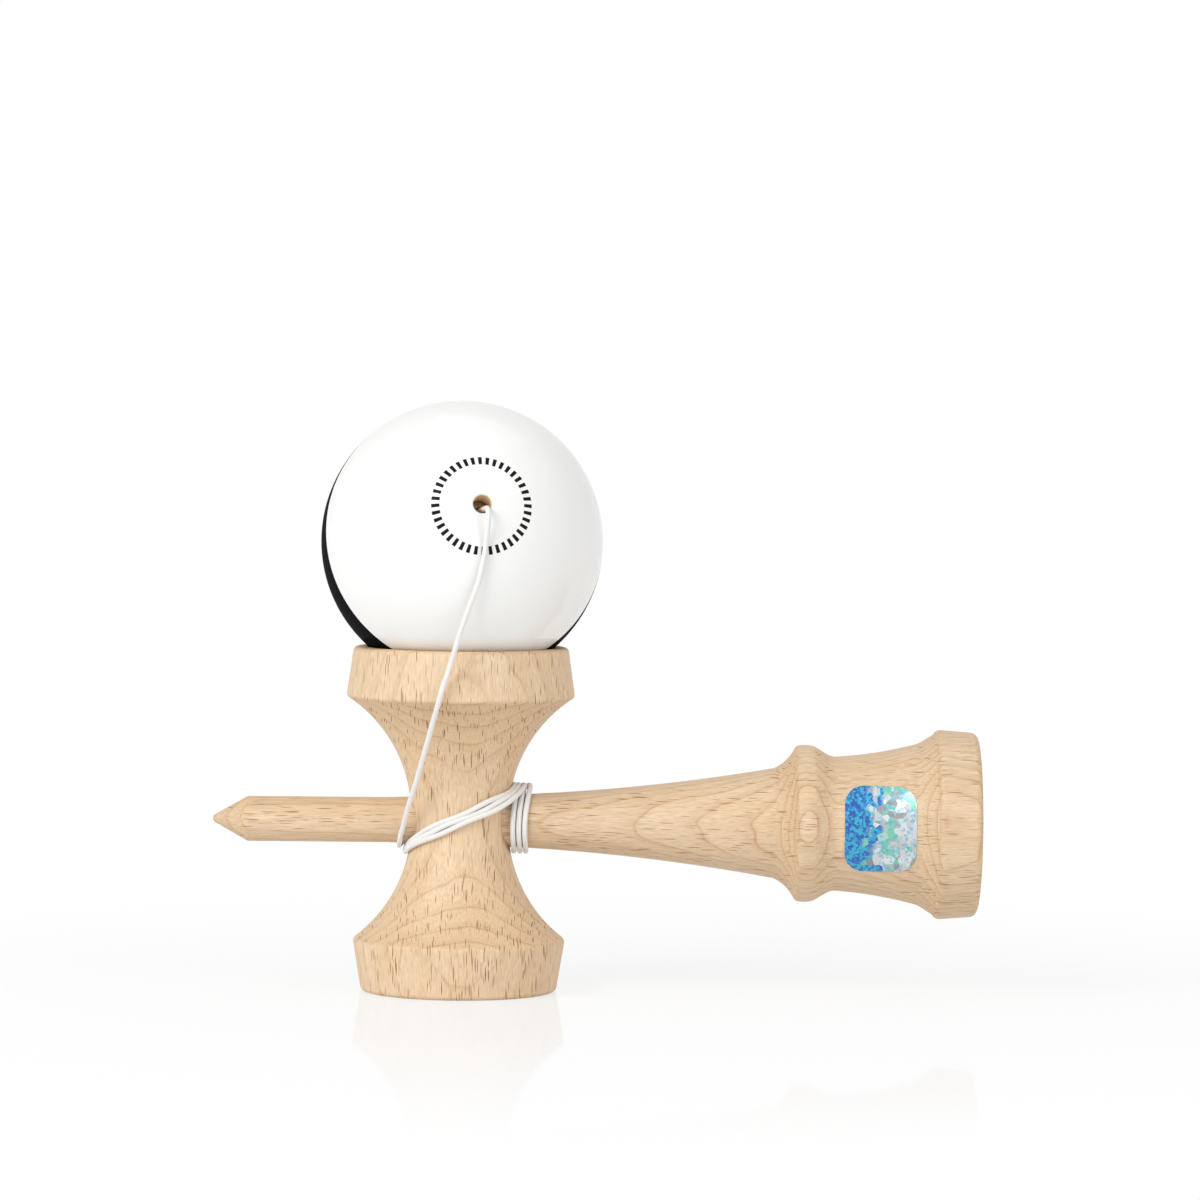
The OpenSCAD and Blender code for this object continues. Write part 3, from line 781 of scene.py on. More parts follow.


# String

# The free stretches are given point by point: the upper lead from the ball down, then the lower one
SPLIT = Vector((-0.0008, -0.0274, 0.075))
FOOT = Vector((-0.0122, -0.0056, 0.0346))
UPPER_ROUTE = [Vector(p) for p in (
    (0.00565, -0.0309, 0.1032), (0.0057, -0.03105, 0.1012), (0.0053, -0.0304, 0.097),
    (0.00475, -0.03035, 0.093), (0.00375, -0.02995, 0.0884), (0.0021, -0.0291, 0.0838),
    (0.0004, -0.0282, 0.079))]
LOWER_ROUTE = [Vector(p) for p in (
    (-0.0026, -0.0263, 0.069), (-0.0037, -0.0256, 0.0656), (-0.0045, -0.0248, 0.0626),
    (-0.0056, -0.0222, 0.0586), (-0.0072, -0.0182, 0.0526), (-0.009, -0.0137, 0.046),
    (-0.0109, -0.0092, 0.0396))]
SPLIT_WAY = (LOWER_ROUTE[0] - UPPER_ROUTE[-1]).normalized()
FOOT_WAY = (LOWER_ROUTE[-1] - FOOT).normalized()
# How the string leans on the edge of the ball's hole, and how deep the lean starts
HOLE_LEAN = Vector((0.0007, -0.001, 0.0))
LEAN_DEPTH = 0.004
KNOT_GAP = 0.00015
STITCHES_AROUND = 4
STRING_SIDES = 16
STRING_STEP = 0.0003
CURVE_STEPS = 8
EASE_ROUNDS = 14


def ease(t):
    """A smooth step from 0 to 1."""
    s = min(1.0, max(0.0, t))
    return s * s * (3 - 2 * s)


def smooth_path(points):
    """A smooth curve through hand-chosen points."""
    path = []
    for i in range(len(points) - 1):
        a, b = points[max(0, i - 1)], points[i]
        c, d = points[i + 1], points[min(len(points) - 1, i + 2)]
        for k in range(CURVE_STEPS):
            t = k / CURVE_STEPS
            path.append(b + t / 2 * ((c - a) + t * ((2 * a - 5 * b + 4 * c - d)
                                                    + t * (3 * (b - c) + d - a))))
    return path + [points[-1]]


def even_path(points):
    """The same line with its points a step apart."""
    ends = [0.0]
    for a, b in zip(points, points[1:]):
        ends.append(ends[-1] + (b - a).length)
    count = max(2, round(ends[-1] / STRING_STEP))
    path, k = [], 0
    for i in range(count + 1):
        run = ends[-1] * i / count
        while k < len(points) - 2 and ends[k + 1] < run:
            k += 1
        share = (run - ends[k]) / max(1e-12, ends[k + 1] - ends[k])
        path.append(points[k].lerp(points[k + 1], share))
    return path


def relaxed(points):
    """The same line with its sharp turns eased, as a limp string eases them."""
    points = even_path(points)
    for _ in range(EASE_ROUNDS):
        inner = [(a + 2 * b + c) / 4 for a, b, c in zip(points, points[1:], points[2:])]
        points = [points[0], *inner, points[-1]]
    return points


def braided(name, points):
    """A tube of braid along a line of points, with its own UV map, and the points it follows."""
    string = settings().string
    path = even_path(points)
    bm = bmesh.new()
    uv_map = bm.loops.layers.uv.new("Braid")
    normal, rings = None, []
    for i, point in enumerate(path):
        way = (path[min(i + 1, len(path) - 1)] - path[max(i - 1, 0)]).normalized()
        if normal is None:
            normal = way.orthogonal()
        normal = (normal - normal.dot(way) * way).normalized()
        side = way.cross(normal)
        along = i * STRING_STEP / string.braid_pitch
        ring = []
        for k in range(STRING_SIDES):
            around = k / STRING_SIDES
            a = FULL_TURN * around
            wave = math.sin(FULL_TURN * (STITCHES_AROUND * around + along)) * math.sin(
                FULL_TURN * (STITCHES_AROUND * around - along))
            r = string.diameter / 2 - string.braid_depth / 2 * (1 - abs(wave))
            ring.append(bm.verts.new(point + r * (math.cos(a) * normal + math.sin(a) * side)))
        rings.append((ring, along))
    for (ring, along), (after, further) in zip(rings, rings[1:]):
        for k in range(STRING_SIDES):
            j = (k + 1) % STRING_SIDES
            face = bm.faces.new((ring[k], ring[j], after[j], after[k]))
            u, w = k / STRING_SIDES, (k + 1) / STRING_SIDES
            for loop, uv in zip(face.loops, ((u, along), (w, along), (w, further), (u, further))):
                loop[uv_map].uv = uv
    bm.faces.new(rings[0][0][::-1])
    bm.faces.new(rings[-1][0])
    bmesh.ops.recalc_face_normals(bm, faces=bm.faces)
    return mesh_object(name, bm), path


class Winding:
    """The wound string: out of the back of the waist, round the handle, then round the cups."""

    # Rise of a turn round the cups, and the step to the turn beside it, as shares of the pitch
    climb_share = 1.02
    side_share = 1.02
    last_side_share = 1.3
    # How the strands draw together over the spike, wander, lie on each other and sag in front
    bunch_share = 0.45
    stray_share = 0.2
    stray_waves, stray_phase = 5.3, 0.15
    stack_share = 0.05
    sag, sag_start = 0.0022, 0.4
    # The turns round the handle: their step as a share of the pitch, their lean and their gaps
    lane_share = 1.12
    lane_lean = 0.0006
    handle_slack = 0.00015
    waist_slack = 0.00004
    # Laps are counted in turns: where each stretch starts, and the step that shows its way
    quarter, half = 0.25, 0.5
    handle_start, cup_start, way_step = 0.12, 0.02, 0.01
    # The first stretch, as shares of its length, and the last one, as shares of its turn
    laid_start, laid_before, laid_step, laid_count = 0.28, 0.22, 0.08, 9
    spike_shares = (0.15, 0.3, 0.45, 0.6, 0.75, 0.9, 1.0)
    # Reach of the joining curves, in string diameters or in radii of the handle's turns
    mouth_reach, laid_reach, up_reach, over_reach = 2.4, 1.4, 0.7, 0.5
    turn_steps, mouth_steps, over_steps = 48, 14, 12

    def __init__(self):
        string, sarado, ken = settings().string, settings().sarado, settings().ken
        self.string, self.sarado, self.ken_z = string, sarado, ken.axis_height
        self.waist = sarado.waist / 2
        self.lay = string.diameter / 2 + string.gap
        self.handle_lay = ken.handle_start / 2 + self.lay + self.handle_slack
        self.handle_x = self.waist_radius(self.handle_lay) + self.lay + self.waist_slack
        self.over = self.handle_lay + string.pitch
        self.spike_lay = ken.spike / 2 + self.lay
        self.climb = string.pitch * self.climb_share
        self.side = string.pitch * self.side_share

    def waist_radius(self, dz):
        """Radius of the waist at a height from the ken's axis."""
        flare = self.sarado.flare
        e = max(0.0, abs(dz) - self.sarado.waist_len / 2)
        return self.waist + flare - math.sqrt(flare * flare - e * e)

    def cup_lap(self, t):
        """Turns round the cups: over the handle at whole numbers, under the spike at halves."""
        turns, q = self.string.cup_turns, self.quarter
        a = FULL_TURN * t
        front = max(0.0, -math.sin(a))
        swing = RIGHT_ANGLE * max(0.0, math.cos(a)) ** 2
        last = RIGHT_ANGLE * ease((t - turns - q) / q)
        bunch = max(0.0, -math.cos(a)) ** 2 * (1 - math.sin(last))
        climb = self.climb * (1 - self.bunch_share * bunch)
        low = -self.spike_lay - self.climb * (1 - self.bunch_share) * (1 - q)
        middle = (self.over + low) / 2
        lane = t - turns + 1 + q
        stray = self.stray_share * front * math.sin(
            FULL_TURN * (self.stray_waves * t + self.stray_phase))
        rise = climb * (lane * math.cos(swing) - 1 + math.cos(last) + stray)
        rise -= self.climb * self.bunch_share * (1 - q) * math.sin(last)
        sag = self.sag * math.cos(a) * front * ease(front / self.sag_start)
        dz = middle + (self.over - middle) * math.cos(a) + rise - sag
        beside = self.side * (max(0.0, turns - q - t) * math.sin(swing)
                              + self.last_side_share * math.sin(last))
        stacked = self.string.diameter * self.stack_share * bunch * (math.floor(t) == 1)
        lift = self.climb * max(0.0, math.sin(a)) ** 2 + stacked
        rho = self.waist_radius(dz) + self.lay + beside + lift
        return Vector((rho * math.cos(a), rho * math.sin(a), self.ken_z + dz))

    def handle_lap(self, t):
        """Turns round the handle: from behind and below, up the front and over the top."""
        a = FULL_TURN * t
        lane = self.string.pitch * self.lane_share * (t - self.quarter)
        lean = self.lane_lean * max(0.0, -math.cos(a)) ** 2
        return Vector((self.handle_x + lane - lean, self.handle_lay * math.cos(a),
                       self.ken_z - self.handle_lay * math.sin(a)))

    def first_stretch(self, t):
        """Round the waist from the back to the handle."""
        end = self.handle_lap(self.handle_start)
        a = RIGHT_ANGLE * (1 - t) + math.atan2(end.y, end.x) * t
        rho = (self.waist + self.lay) * (1 - t) + math.hypot(end.x, end.y) * t
        return Vector((rho * math.cos(a), rho * math.sin(a),
                       self.ken_z + (end.z - self.ken_z) * t * t))

    def last_stretch(self, a, x):
        """Up the front of the spike from below it."""
        return Vector((x, -self.spike_lay * math.sin(a), self.ken_z - self.spike_lay * math.cos(a)))

    @staticmethod
    def joining(a, u, b, v, steps):
        """A smooth curve from a, leaving along u, to b, arriving along v."""
        path = []
        for i in range(1, steps):
            t = i / steps
            s = 1 - t
            path.append(s ** 3 * a + 3 * s * s * t * (a + u) + 3 * s * t * t * (b - v) + t ** 3 * b)
        return path

    def shares(self, first, last):
        """Even steps of a lap, from one share to another."""
        steps = round((last - first) * self.turn_steps)
        return [first + (last - first) * i / steps for i in range(steps + 1)]

    def path(self, hole_start):
        """The whole line, from inside the waist to where the string leaves the spike."""
        d, lay = self.string.diameter, self.handle_lay
        mouth = Vector((0, self.waist - d / 2, self.ken_z))
        laid = self.first_stretch(self.laid_start)
        laid_way = (laid - self.first_stretch(self.laid_before)).normalized()
        handle_end = self.string.handle_turns - self.half
        up = self.handle_lap(handle_end)
        up_way = (up - self.handle_lap(handle_end - self.way_step)).normalized()
        over = self.cup_lap(self.cup_start)
        over_way = (self.cup_lap(self.cup_start + self.way_step) - over).normalized()
        cup_end = self.string.cup_turns + self.half
        under = self.cup_lap(cup_end)
        foot_angle = math.atan2(FOOT_WAY.z, -FOOT_WAY.y)
        run = (FOOT.y + self.spike_lay * math.sin(foot_angle)) / FOOT_WAY.y
        touch_x = FOOT.x - run * FOOT_WAY.x
        return (
            [hole_start, mouth]
            + self.joining(mouth, Vector((0, self.mouth_reach * d, 0)), laid,
                           self.laid_reach * d * laid_way, self.mouth_steps)
            + [self.first_stretch(self.laid_start + self.laid_step * i)
               for i in range(self.laid_count)]
            + [self.handle_lap(t) for t in self.shares(self.handle_start, handle_end)]
            + self.joining(up, self.up_reach * lay * up_way, over, self.over_reach * lay * over_way,
                           self.over_steps)
            + [self.cup_lap(t) for t in self.shares(self.cup_start, cup_end)]
            + [self.last_stretch(foot_angle * s, under.x * (1 - s) + touch_x * s)
               for s in self.spike_shares]
            + [FOOT - d * FOOT_WAY, FOOT]
        )


def knot_path(middle, way):
    """An overhand knot in a string that comes along a way."""
    string = settings().string
    lobe_share, depth_share, open_share, steps = 0.42, 0.9, 0.04, 72
    turning = way.to_track_quat("Z", "Y").to_matrix()
    r = (string.knot - string.diameter) / 2
    path = []
    for i in range(steps + 1):
        t = FULL_TURN * (open_share + (1 - 2 * open_share) * i / steps)
        path.append(Vector((r * lobe_share * (math.sin(t) + 2 * math.sin(2 * t)),
                            r * lobe_share * (math.cos(t) - 2 * math.cos(2 * t)),
                            -r * depth_share * math.sin(3 * t))))
    return [middle + turning @ p for p in path]


def string_piece(name, points, body, *nodes):
    """A braided piece with its finish, and the points it follows."""
    piece, path = braided(name, points)
    finish_piece(piece, body, nodes, [string_material()])
    return piece, path


class KENDAMA_OT_string(Operator):
    """Wind the string, lead it up to the ball and knot its ends"""

    bl_idname = "kendama.string"
    bl_label = "String"

    def execute(self, context):
        string, ken = settings().string, settings().ken
        radius, axis = string.diameter / 2, on_hole_axis()
        hole_way = (axis.to_3x3() @ Vector((0, 0, 1))).normalized()
        exit_s = settings().tama.diameter / 2
        # The string leans on the lower edge of its hole
        leaning = [Vector((0, 0, exit_s - 2 * LEAN_DEPTH)),
                   HOLE_LEAN / 3 + Vector((0, 0, exit_s - LEAN_DEPTH)),
                   HOLE_LEAN + Vector((0, 0, exit_s))]
        exit_way = (axis.to_3x3() @ (leaning[2] - leaning[1])).normalized()
        exit_point = axis @ leaning[2]
        bead_knot_s = pocket_end_s() - 2 * string.bead_gap - string.bead - string.knot / 2
        knot_y = -seat_radius(0) + ken.knot_depth - string.knot / 2 - KNOT_GAP

        start = Vector((0, knot_y + string.knot / 2 - radius, ken.axis_height))
        wound, path = string_piece("string_winding_braid", relaxed(Winding().path(start)), "ken",
                                   "string_winding", "string_ken_end")
        knot, _ = string_piece("ken_knot_braid", knot_path(
            Vector((0, knot_y, ken.axis_height)), Vector((0, 1, 0))), "ken", "ken_knot")

        lower, path = string_piece("string_lead_lower_braid", smooth_path(
            [FOOT - radius * FOOT_WAY, FOOT, FOOT + 2 * radius * FOOT_WAY, *LOWER_ROUTE[::-1],
             SPLIT + 2 * radius * SPLIT_WAY, SPLIT, SPLIT - radius * SPLIT_WAY]),
            None, "string_lead_lower")
        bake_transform(lower)

        upper, path = string_piece("string_lead_upper_braid", relaxed(smooth_path(
            [SPLIT + radius * SPLIT_WAY, SPLIT, SPLIT - 2 * radius * SPLIT_WAY,
             *UPPER_ROUTE[::-1], exit_point + 2 * radius * exit_way,
             exit_point, exit_point - radius * exit_way])),
            None, "string_lead_upper")
        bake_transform(upper)

        knot_top = Vector((0, 0, bead_knot_s + string.knot / 2 - radius))
        string_piece("string_tama_end_braid", smooth_path([axis @ p for p in (knot_top, *leaning)]),
                     "tama", "string_tama_end")
        string_piece("bead_knot_braid", knot_path(axis @ Vector((0, 0, bead_knot_s)), hole_way),
                     "tama", "bead_knot")
        return {"FINISHED"}


# Turned pieces

# Steps of the arcs, and of a full turn of each piece
EDGE_STEPS = 8
BASE_EDGE_STEPS = 10
DISH_STEPS = 24
FLARE_STEPS = 40
HANDLE_STEPS = 24
COLLAR_STEPS = 12
NECK_STEPS = 20
BALL_STEPS = 96
BEAD_STEPS = 48
SARADO_TURN_STEPS = 160
SEAT_TURN_STEPS = 96
KEN_TURN_STEPS = 144
TAMA_TURN_STEPS = 144
BEAD_TURN_STEPS = 72


def sarado_outline(sarado, ken_z):
    """Half outline of the double cup, and its corners to round."""
    waist = sarado.waist / 2

    def run(d):
        """Height of the flare from the waist to a diameter."""
        return math.sqrt(sarado.flare ** 2 - (waist + sarado.flare - d / 2) ** 2)

    low, high = ken_z - sarado.waist_len / 2, ken_z + sarado.waist_len / 2
    low_ridge = (sarado.small_ridge / 2, low - run(sarado.small_ridge))
    high_ridge = (sarado.big_ridge / 2, high + run(sarado.big_ridge))
    small_lip, big_lip = (sarado.small_mouth / 2, 0), (sarado.big_mouth / 2, sarado.height)
    small, big = sarado.small_rim / 2, sarado.big_rim / 2
    edge, top = sarado.rim_round, sarado.height
    outline = joined(
        arc((0, sarado.small_depth), small_lip,
            -dish_radius(sarado.small_mouth, sarado.small_depth), DISH_STEPS),
        arc((small - edge, 0), (small, edge), edge, EDGE_STEPS),
        arc(low_ridge, (waist, low), -sarado.flare, FLARE_STEPS),
        arc((waist, high), high_ridge, -sarado.flare, FLARE_STEPS),
        arc((big, top - edge), (big - edge, top), edge, EDGE_STEPS),
        arc(big_lip, (0, top - sarado.big_depth),
            -dish_radius(sarado.big_mouth, sarado.big_depth), DISH_STEPS),
    )
    ridge = sarado.ridge_round
    return outline, [(low_ridge, ridge), (high_ridge, ridge), (small_lip, sarado.lip_round),
                     (big_lip, sarado.lip_round)]


class KENDAMA_OT_sarado(Operator):
    """Turn the double cup and bore its seat and its string hole"""

    bl_idname = "kendama.sarado"
    bl_label = "Double cup"

    def execute(self, context):
        sarado, ken = settings().sarado, settings().ken
        outline, rounds = sarado_outline(sarado, ken.axis_height)
        piece = mesh_object("sarado_turned", turned(outline, rounds, Matrix(), SARADO_TURN_STEPS))
        start, end = seat_ends()
        cut(piece, bar(along_ken(), start, end, ken.spike / 2 + sarado.seat_gap,
                       ken.handle_start / 2 + sarado.seat_gap, SEAT_TURN_STEPS))
        cut(piece, bar(across_ken(), -sarado.waist, 0.0, sarado.string_hole / 2))
        finish_piece(piece, "ken", ["sarado"], [
            wood_material("Sarado beech", (0, 0, 0), (0, 0, 0), fleck_share=1.0, tone=0.96)])
        return {"FINISHED"}


def ken_outline(ken):
    """Half outline of the ken, and its corners to round."""
    collar_half_share, collar_drop_share = 0.3, 0.15
    foot_share, cup_foot_share, rim_edge_share = 0.8, 0.7, 0.5
    start, end = seat_ends()
    tip, half = -ken.spike_reach, ken.spike / 2
    run = ken.point - ken.tip
    tip_angle = math.atan2(half, run) + math.acos(ken.tip / math.hypot(half, run))
    tip_edge = (ken.tip * math.sin(tip_angle), tip + ken.tip + ken.tip * math.cos(tip_angle))
    shoulder = (half, tip + ken.point)
    handle_end = (ken.handle_end / 2, ken.handle_reach)
    collar_half = (ken.collar_reach - ken.handle_reach) * collar_half_share
    collar_drop = collar_half * collar_drop_share
    collar_edge = ken.collar / 2 - collar_drop
    near = (collar_edge, ken.collar_reach - collar_half)
    far = (collar_edge, ken.collar_reach + collar_half)
    foot = (ken.groove / 2, far[1] + (ken.groove_reach - far[1]) * foot_share)
    groove = (ken.groove / 2, ken.groove_reach)
    neck_end = (ken.neck_end / 2, ken.neck_reach)
    ridge = (ken.ridge / 2, ken.ridge_reach)
    cup_foot = tuple(n + (r - n) * cup_foot_share for n, r in zip(neck_end, ridge))
    rim, lip = ken.base_rim / 2, (ken.base_mouth / 2, ken.base_reach)
    rim_edge = (rim - lip[0]) * rim_edge_share
    outline = joined(
        arc((0, tip), tip_edge, ken.tip, EDGE_STEPS),
        [shoulder, (half, start)],
        arc((ken.handle_start / 2, end), handle_end, -ken.handle_curve, HANDLE_STEPS),
        arc(handle_end, near, -ken.collar_hollow, COLLAR_STEPS),
        arc(near, far, dish_radius(2 * collar_half, collar_drop), COLLAR_STEPS),
        [foot],
        arc(groove, neck_end, -ken.neck_curve, NECK_STEPS),
        arc(cup_foot, ridge, math.dist(cup_foot, ridge), EDGE_STEPS),
        arc((rim, ken.base_reach - rim_edge), (rim - rim_edge, ken.base_reach), rim_edge,
            BASE_EDGE_STEPS),
        arc(lip, (0, ken.base_reach - ken.base_depth),
            -dish_radius(ken.base_mouth, ken.base_depth), DISH_STEPS),
    )
    edge = ken.edge_round
    return outline, [(shoulder, edge / 2), (near, edge), (far, edge), (foot, 2 * edge),
                     (neck_end, 2 * edge), (cup_foot, edge), (ridge, edge), (lip, edge / 2)]


class KENDAMA_OT_ken(Operator):
    """Turn the ken with its spike, collar and base cup, and drill it for the string"""

    bl_idname = "kendama.ken"
    bl_label = "Ken"

    heart_offset = 0.004

    def execute(self, context):
        ken = settings().ken
        outline, rounds = ken_outline(ken)
        piece = mesh_object("ken_turned", turned(outline, rounds, along_ken(), KEN_TURN_STEPS))
        reach = ken.handle_start
        cut(piece, bar(across_ken(), -reach, reach, ken.string_hole / 2))
        cut(piece, bar(across_ken(), seat_radius(0) - ken.knot_depth, reach, ken.knot_pocket / 2))
        finish_piece(piece, "ken", ["ken"], [wood_material(
            "Ken beech", (0, -RIGHT_ANGLE, 0), (ken.axis_height, self.heart_offset, 0),
            fleck_share=0.8, tone=0.9, line_share=1.3, ring_share=0.5)])
        return {"FINISHED"}


class KENDAMA_OT_tama(Operator):
    """Turn the ball with its spike hole, bead pocket and string hole, and paint it"""

    bl_idname = "kendama.tama"
    bl_label = "Ball"

    painted_share = 0.985

    def execute(self, context):
        tama = settings().tama
        radius, bore = tama.diameter / 2, tama.spike_hole / 2
        pocket, hole = tama.pocket / 2, tama.string_hole / 2

        def bevel_edge(r, s, way):
            """Where a bevel at 45 degrees, from (r, s) outwards, meets the ball."""
            b = r + way * s
            t = (-b + math.sqrt(b * b - 2 * (r * r + s * s - radius * radius))) / 2
            return r + t, s + way * t

        rim_s = math.sqrt(radius * radius - hole * hole)
        hole_corner = (hole, rim_s - tama.string_bevel)
        mouth_corner = (bore, mouth_s() + tama.mouth_bevel)
        top, bottom = bevel_edge(*hole_corner, 1), bevel_edge(*mouth_corner, -1)
        bore_end, pocket_end = mouth_s() + tama.spike_depth, pocket_end_s()
        outline = joined(
            [(hole, pocket_end), hole_corner],
            arc(top, bottom, -radius, BALL_STEPS),
            [mouth_corner, (bore, bore_end), (pocket, bore_end), (pocket, pocket_end)],
        )
        edge = tama.edge_round
        rounds = [(top, edge / 3), (bottom, edge), (mouth_corner, edge)]
        piece = mesh_object("tama_turned", turned(outline, rounds, on_hole_axis(), TAMA_TURN_STEPS,
                                                  closed=True))
        # The bare wood in the holes is made 1.3 times paler: painted light that stands in for the
        # front light falling into the holes.
        finish_piece(piece, "tama", ["tama"], [
            paint_material(),
            wood_material("Tama bare wood with painted light", (RIGHT_ANGLE - tama.hole_tilt, 0, 0), (0.01, 0.02, 0),
                          fleck_share=0.2, tone=1.3, line_share=0.1)])
        centre, painted = tama_centre(), self.painted_share * radius
        for face in piece.data.polygons:
            face.material_index = 0 if (face.center - centre).length > painted else 1
        return {"FINISHED"}


class KENDAMA_OT_bead(Operator):
    """Turn the bead that stops the string inside the ball"""

    bl_idname = "kendama.bead"
    bl_label = "Bead"

    def execute(self, context):
        string = settings().string
        hole, radius = string.bead_hole / 2, string.bead / 2
        rim = math.sqrt(radius * radius - hole * hole)
        outline = joined(arc((hole, rim), (hole, -rim), -radius, BEAD_STEPS))
        place = on_hole_axis() @ Matrix.Translation(
            (0, 0, pocket_end_s() - string.bead_gap - radius))
        rounds = [((hole, rim), string.bead_round), ((hole, -rim), string.bead_round)]
        piece = mesh_object("bead_turned", turned(outline, rounds, place, BEAD_TURN_STEPS,
                                                  closed=True))
        finish_piece(piece, "bead", ["bead"], [wood_material(
            "Bead wood", hole_turning(), (0.03, 0.01, 0), fleck_share=0.7, tone=0.85)])
        return {"FINISHED"}


# Label


def label_middle():
    """Place of the label's middle along the ken."""
    ken = settings().ken
    return (ken.groove_reach + ken.neck_reach) / 2


def neck_radii(steps):
    """Points along the ken's neck, as (radius, distance)."""
    ken = settings().ken
    return arc((ken.groove / 2, ken.groove_reach), (ken.neck_end / 2, ken.neck_reach),
               -ken.neck_curve, steps)


class KENDAMA_OT_label(Operator):
    """Cut the foil label and lay it round the ken's neck"""

    bl_idname = "kendama.label"
    bl_label = "Label"

    cells = 24
    neck_steps = 64
    corner_segments = 8

    def execute(self, context):
        label, ken = settings().label, settings().ken
        neck, middle = neck_radii(self.neck_steps), label_middle()

        def neck_radius(x):
            """Radius of the neck at a distance along the ken."""
            for (r, h), (s, k) in zip(neck, neck[1:]):
                if x <= k:
                    return r + (s - r) * (x - h) / (k - h)
            return neck[-1][0]

        bm = bmesh.new()
        bmesh.ops.create_grid(bm, x_segments=1, y_segments=1, size=0.5)
        bmesh.ops.scale(bm, vec=(label.width, label.height, 1), verts=bm.verts)
        bmesh.ops.bevel(bm, geom=bm.verts[:], offset=label.corner, offset_type="OFFSET",
                        segments=self.corner_segments, profile=0.5, affect="VERTICES", material=-1)
        for i in range(1, self.cells):
            share = 2 * i / self.cells - 1
            for place, way in (((label.width / 2 * share, 0, 0), (1, 0, 0)),
                               ((0, label.height / 2 * share, 0), (0, 1, 0))):
                bmesh.ops.bisect_plane(bm, geom=bm.verts[:] + bm.edges[:] + bm.faces[:],
                                       plane_co=place, plane_no=way)
        for vert in bm.verts:
            x, z = middle + vert.co.x, vert.co.y
            r = neck_radius(x) + label.gap
            vert.co = (x, -math.sqrt(r * r - z * z), ken.axis_height + z)
        bmesh.ops.recalc_face_normals(bm, faces=bm.faces)
        bm.normal_update()
        if sum(f.normal.y for f in bm.faces) > 0:
            bmesh.ops.reverse_faces(bm, faces=bm.faces)
        bmesh.ops.solidify(bm, geom=bm.faces[:], thickness=-label.thickness)
        bmesh.ops.recalc_face_normals(bm, faces=bm.faces)
        piece = mesh_object("foil_label_film", bm)
        finish_piece(piece, "ken", ["foil_label"], [foil_material()])
        return {"FINISHED"}


# Stage

WHITE = (1, 1, 1, 1)
SENSOR = 36.0
CLIP = (0.01, 50.0)
FLOOR_SIZE = 20.0
LAMP_AIM = Vector((0.03, 0, 0.05))


def set_camera(stage):
    """The camera, from where the toy is seen."""
    data = bpy.data.cameras.new("Camera")
    data.lens, data.sensor_width = stage.lens, SENSOR
    data.clip_start, data.clip_end = CLIP
    camera = bpy.data.objects.new("Camera", data)
    aim = Euler((RIGHT_ANGLE - stage.tilt, 0, -stage.pan)).to_matrix()
    camera.matrix_world = Matrix.Translation(stage.camera) @ (
        aim @ Matrix.Rotation(stage.roll, 3, "Z")).to_4x4()
    bpy.context.scene.collection.objects.link(camera)
    bpy.context.scene.camera = camera


def floor_material(stage):
    """A white floor that keeps a soft shadow and a faint mirror image near the toy."""
    seen_floor, shine, shine_rough = (0.92, 0.92, 0.92), 0.5, 0.05
    middle, fade_start, fade_end, least_glow = (0.04, 0.0, 0.0), 0.05, 0.26, 0.68
    material, n, shader = new_material("Floor")
    path = n.add("ShaderNodeLightPath").outputs
    n.feed(shader, {
        "Base Color": n.mix(path["Is Camera Ray"], opaque(stage.floor), opaque(seen_floor)),
        "Roughness": 0.9, "Specular IOR Level": 0.0,
    })
    gloss = n.add("ShaderNodeBsdfGlossy", {"Color": WHITE, "Roughness": shine_rough})
    near = n.add("ShaderNodeMixShader", {0: shine, 1: shader.outputs[0], 2: gloss.outputs[0]})
    glow = n.add("ShaderNodeEmission", {"Color": WHITE, "Strength": 1.0})
    away = n.size(n.vector("SUBTRACT", n.add("ShaderNodeTexCoord").outputs["Object"], middle))
    fade = n.times(n.smoothed(away, fade_start, fade_end), 1 - least_glow, least_glow)
    plain = n.math("MAXIMUM", path["Is Glossy Ray"], path["Is Transmission Ray"])
    share = n.math("MAXIMUM", plain, n.product(path["Is Camera Ray"], fade))
    mixed = n.add("ShaderNodeMixShader", {0: share, 1: near.outputs[0], 2: glow.outputs[0]})
    n.feed(n.tree.nodes["Material Output"], {"Surface": mixed.outputs[0]})
    return material


def set_world(stage):
    """Soft light from all round, which looks white wherever it is seen."""
    world = bpy.data.worlds.new("Studio")
    bpy.context.scene.world = world
    world.use_nodes = True
    n = Nodes(world.node_tree)
    path = n.add("ShaderNodeLightPath").outputs
    plain = n.math("MAXIMUM", path["Is Camera Ray"], path["Is Glossy Ray"])
    plain = n.math("MAXIMUM", plain, path["Is Transmission Ray"])
    n.feed(world.node_tree.nodes["Background"], {
        "Color": WHITE, "Strength": n.times(plain, 1.0 - stage.ambient, stage.ambient)})


def lamp(name, place, power, size, mirrored=True):
    """A square soft lamp that points at the toy, and may show in glossy surfaces."""
    data = bpy.data.lights.new(name, "AREA")
    data.energy, data.size = power, size
    thing = bpy.data.objects.new(name, data)
    thing.location = place
    thing.visible_glossy = mirrored
    thing.rotation_euler = (LAMP_AIM - Vector(place)).to_track_quat("-Z", "Y").to_euler()
    bpy.context.scene.collection.objects.link(thing)


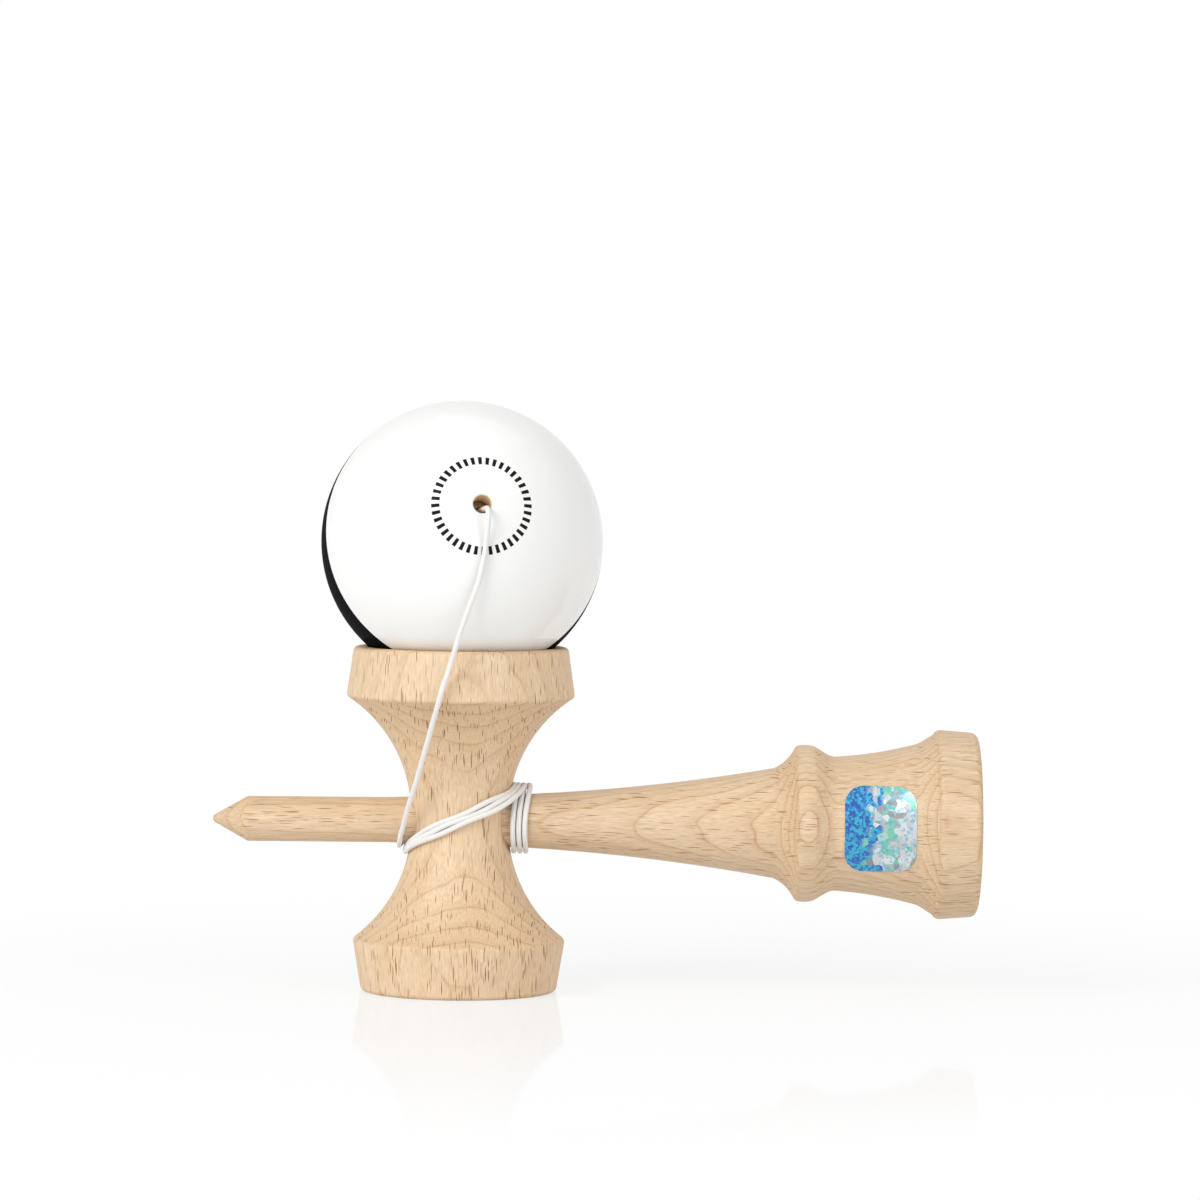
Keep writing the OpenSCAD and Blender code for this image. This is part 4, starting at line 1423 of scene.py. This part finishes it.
class KENDAMA_OT_stage(Operator):
    """Set the camera, the pale floor and the soft studio light"""

    bl_idname = "kendama.stage"
    bl_label = "Stage"

    def execute(self, context):
        stage = settings().stage
        context.scene.view_settings.view_transform = "Standard"
        set_camera(stage)
        bm = bmesh.new()
        bmesh.ops.create_grid(bm, x_segments=2, y_segments=2, size=FLOOR_SIZE)
        floor = mesh_object("floor", bm)
        floor.data.materials.append(floor_material(stage))
        set_world(stage)
        lamp("Key", (-0.9, -0.9, 0.9), stage.key, size=0.9)
        lamp("Fill", (0.9, -0.8, 0.5), stage.fill, size=0.8, mirrored=False)
        lamp("Top", (0.1, 0.25, 1.2), stage.top, size=0.9)
        return {"FINISHED"}


class KENDAMA_PT_panel(Panel):
    """The kendama's pieces and settings in the sidebar"""

    bl_idname = "KENDAMA_PT_panel"
    bl_label = "Kendama"
    bl_space_type = "VIEW_3D"
    bl_region_type = "UI"
    bl_category = "Kendama"

    def draw(self, context):
        for operator in OPERATORS:
            self.layout.operator(operator.bl_idname)
        for name in KendamaSettings.__annotations__:
            box = self.layout.box()
            box.label(text=name.capitalize())
            group = getattr(context.scene.kendama, name)
            for field in type(group).__annotations__:
                box.prop(group, field)


GROUPS = (KendamaTama, KendamaSarado, KendamaKen, KendamaString, KendamaLabel, KendamaWood,
          KendamaStage, KendamaSettings)
OPERATORS = (KENDAMA_OT_stage, KENDAMA_OT_string, KENDAMA_OT_sarado, KENDAMA_OT_ken,
             KENDAMA_OT_tama, KENDAMA_OT_bead, KENDAMA_OT_label)


def register():
    """Add the settings, the operators and the panel."""
    for thing in (*GROUPS, *OPERATORS, KENDAMA_PT_panel):
        bpy.utils.register_class(thing)
    bpy.types.Scene.kendama = PointerProperty(type=KendamaSettings)


def unregister():
    """Take the settings, the operators and the panel away."""
    del bpy.types.Scene.kendama
    for thing in reversed((*GROUPS, *OPERATORS, KENDAMA_PT_panel)):
        bpy.utils.unregister_class(thing)


def main():
    """Build every piece in order."""
    register()
    bpy.ops.kendama.stage()
    bpy.ops.kendama.string()
    bpy.ops.kendama.sarado()
    bpy.ops.kendama.ken()
    bpy.ops.kendama.tama()
    bpy.ops.kendama.bead()
    bpy.ops.kendama.label()


if __name__ == "__main__":
    main()
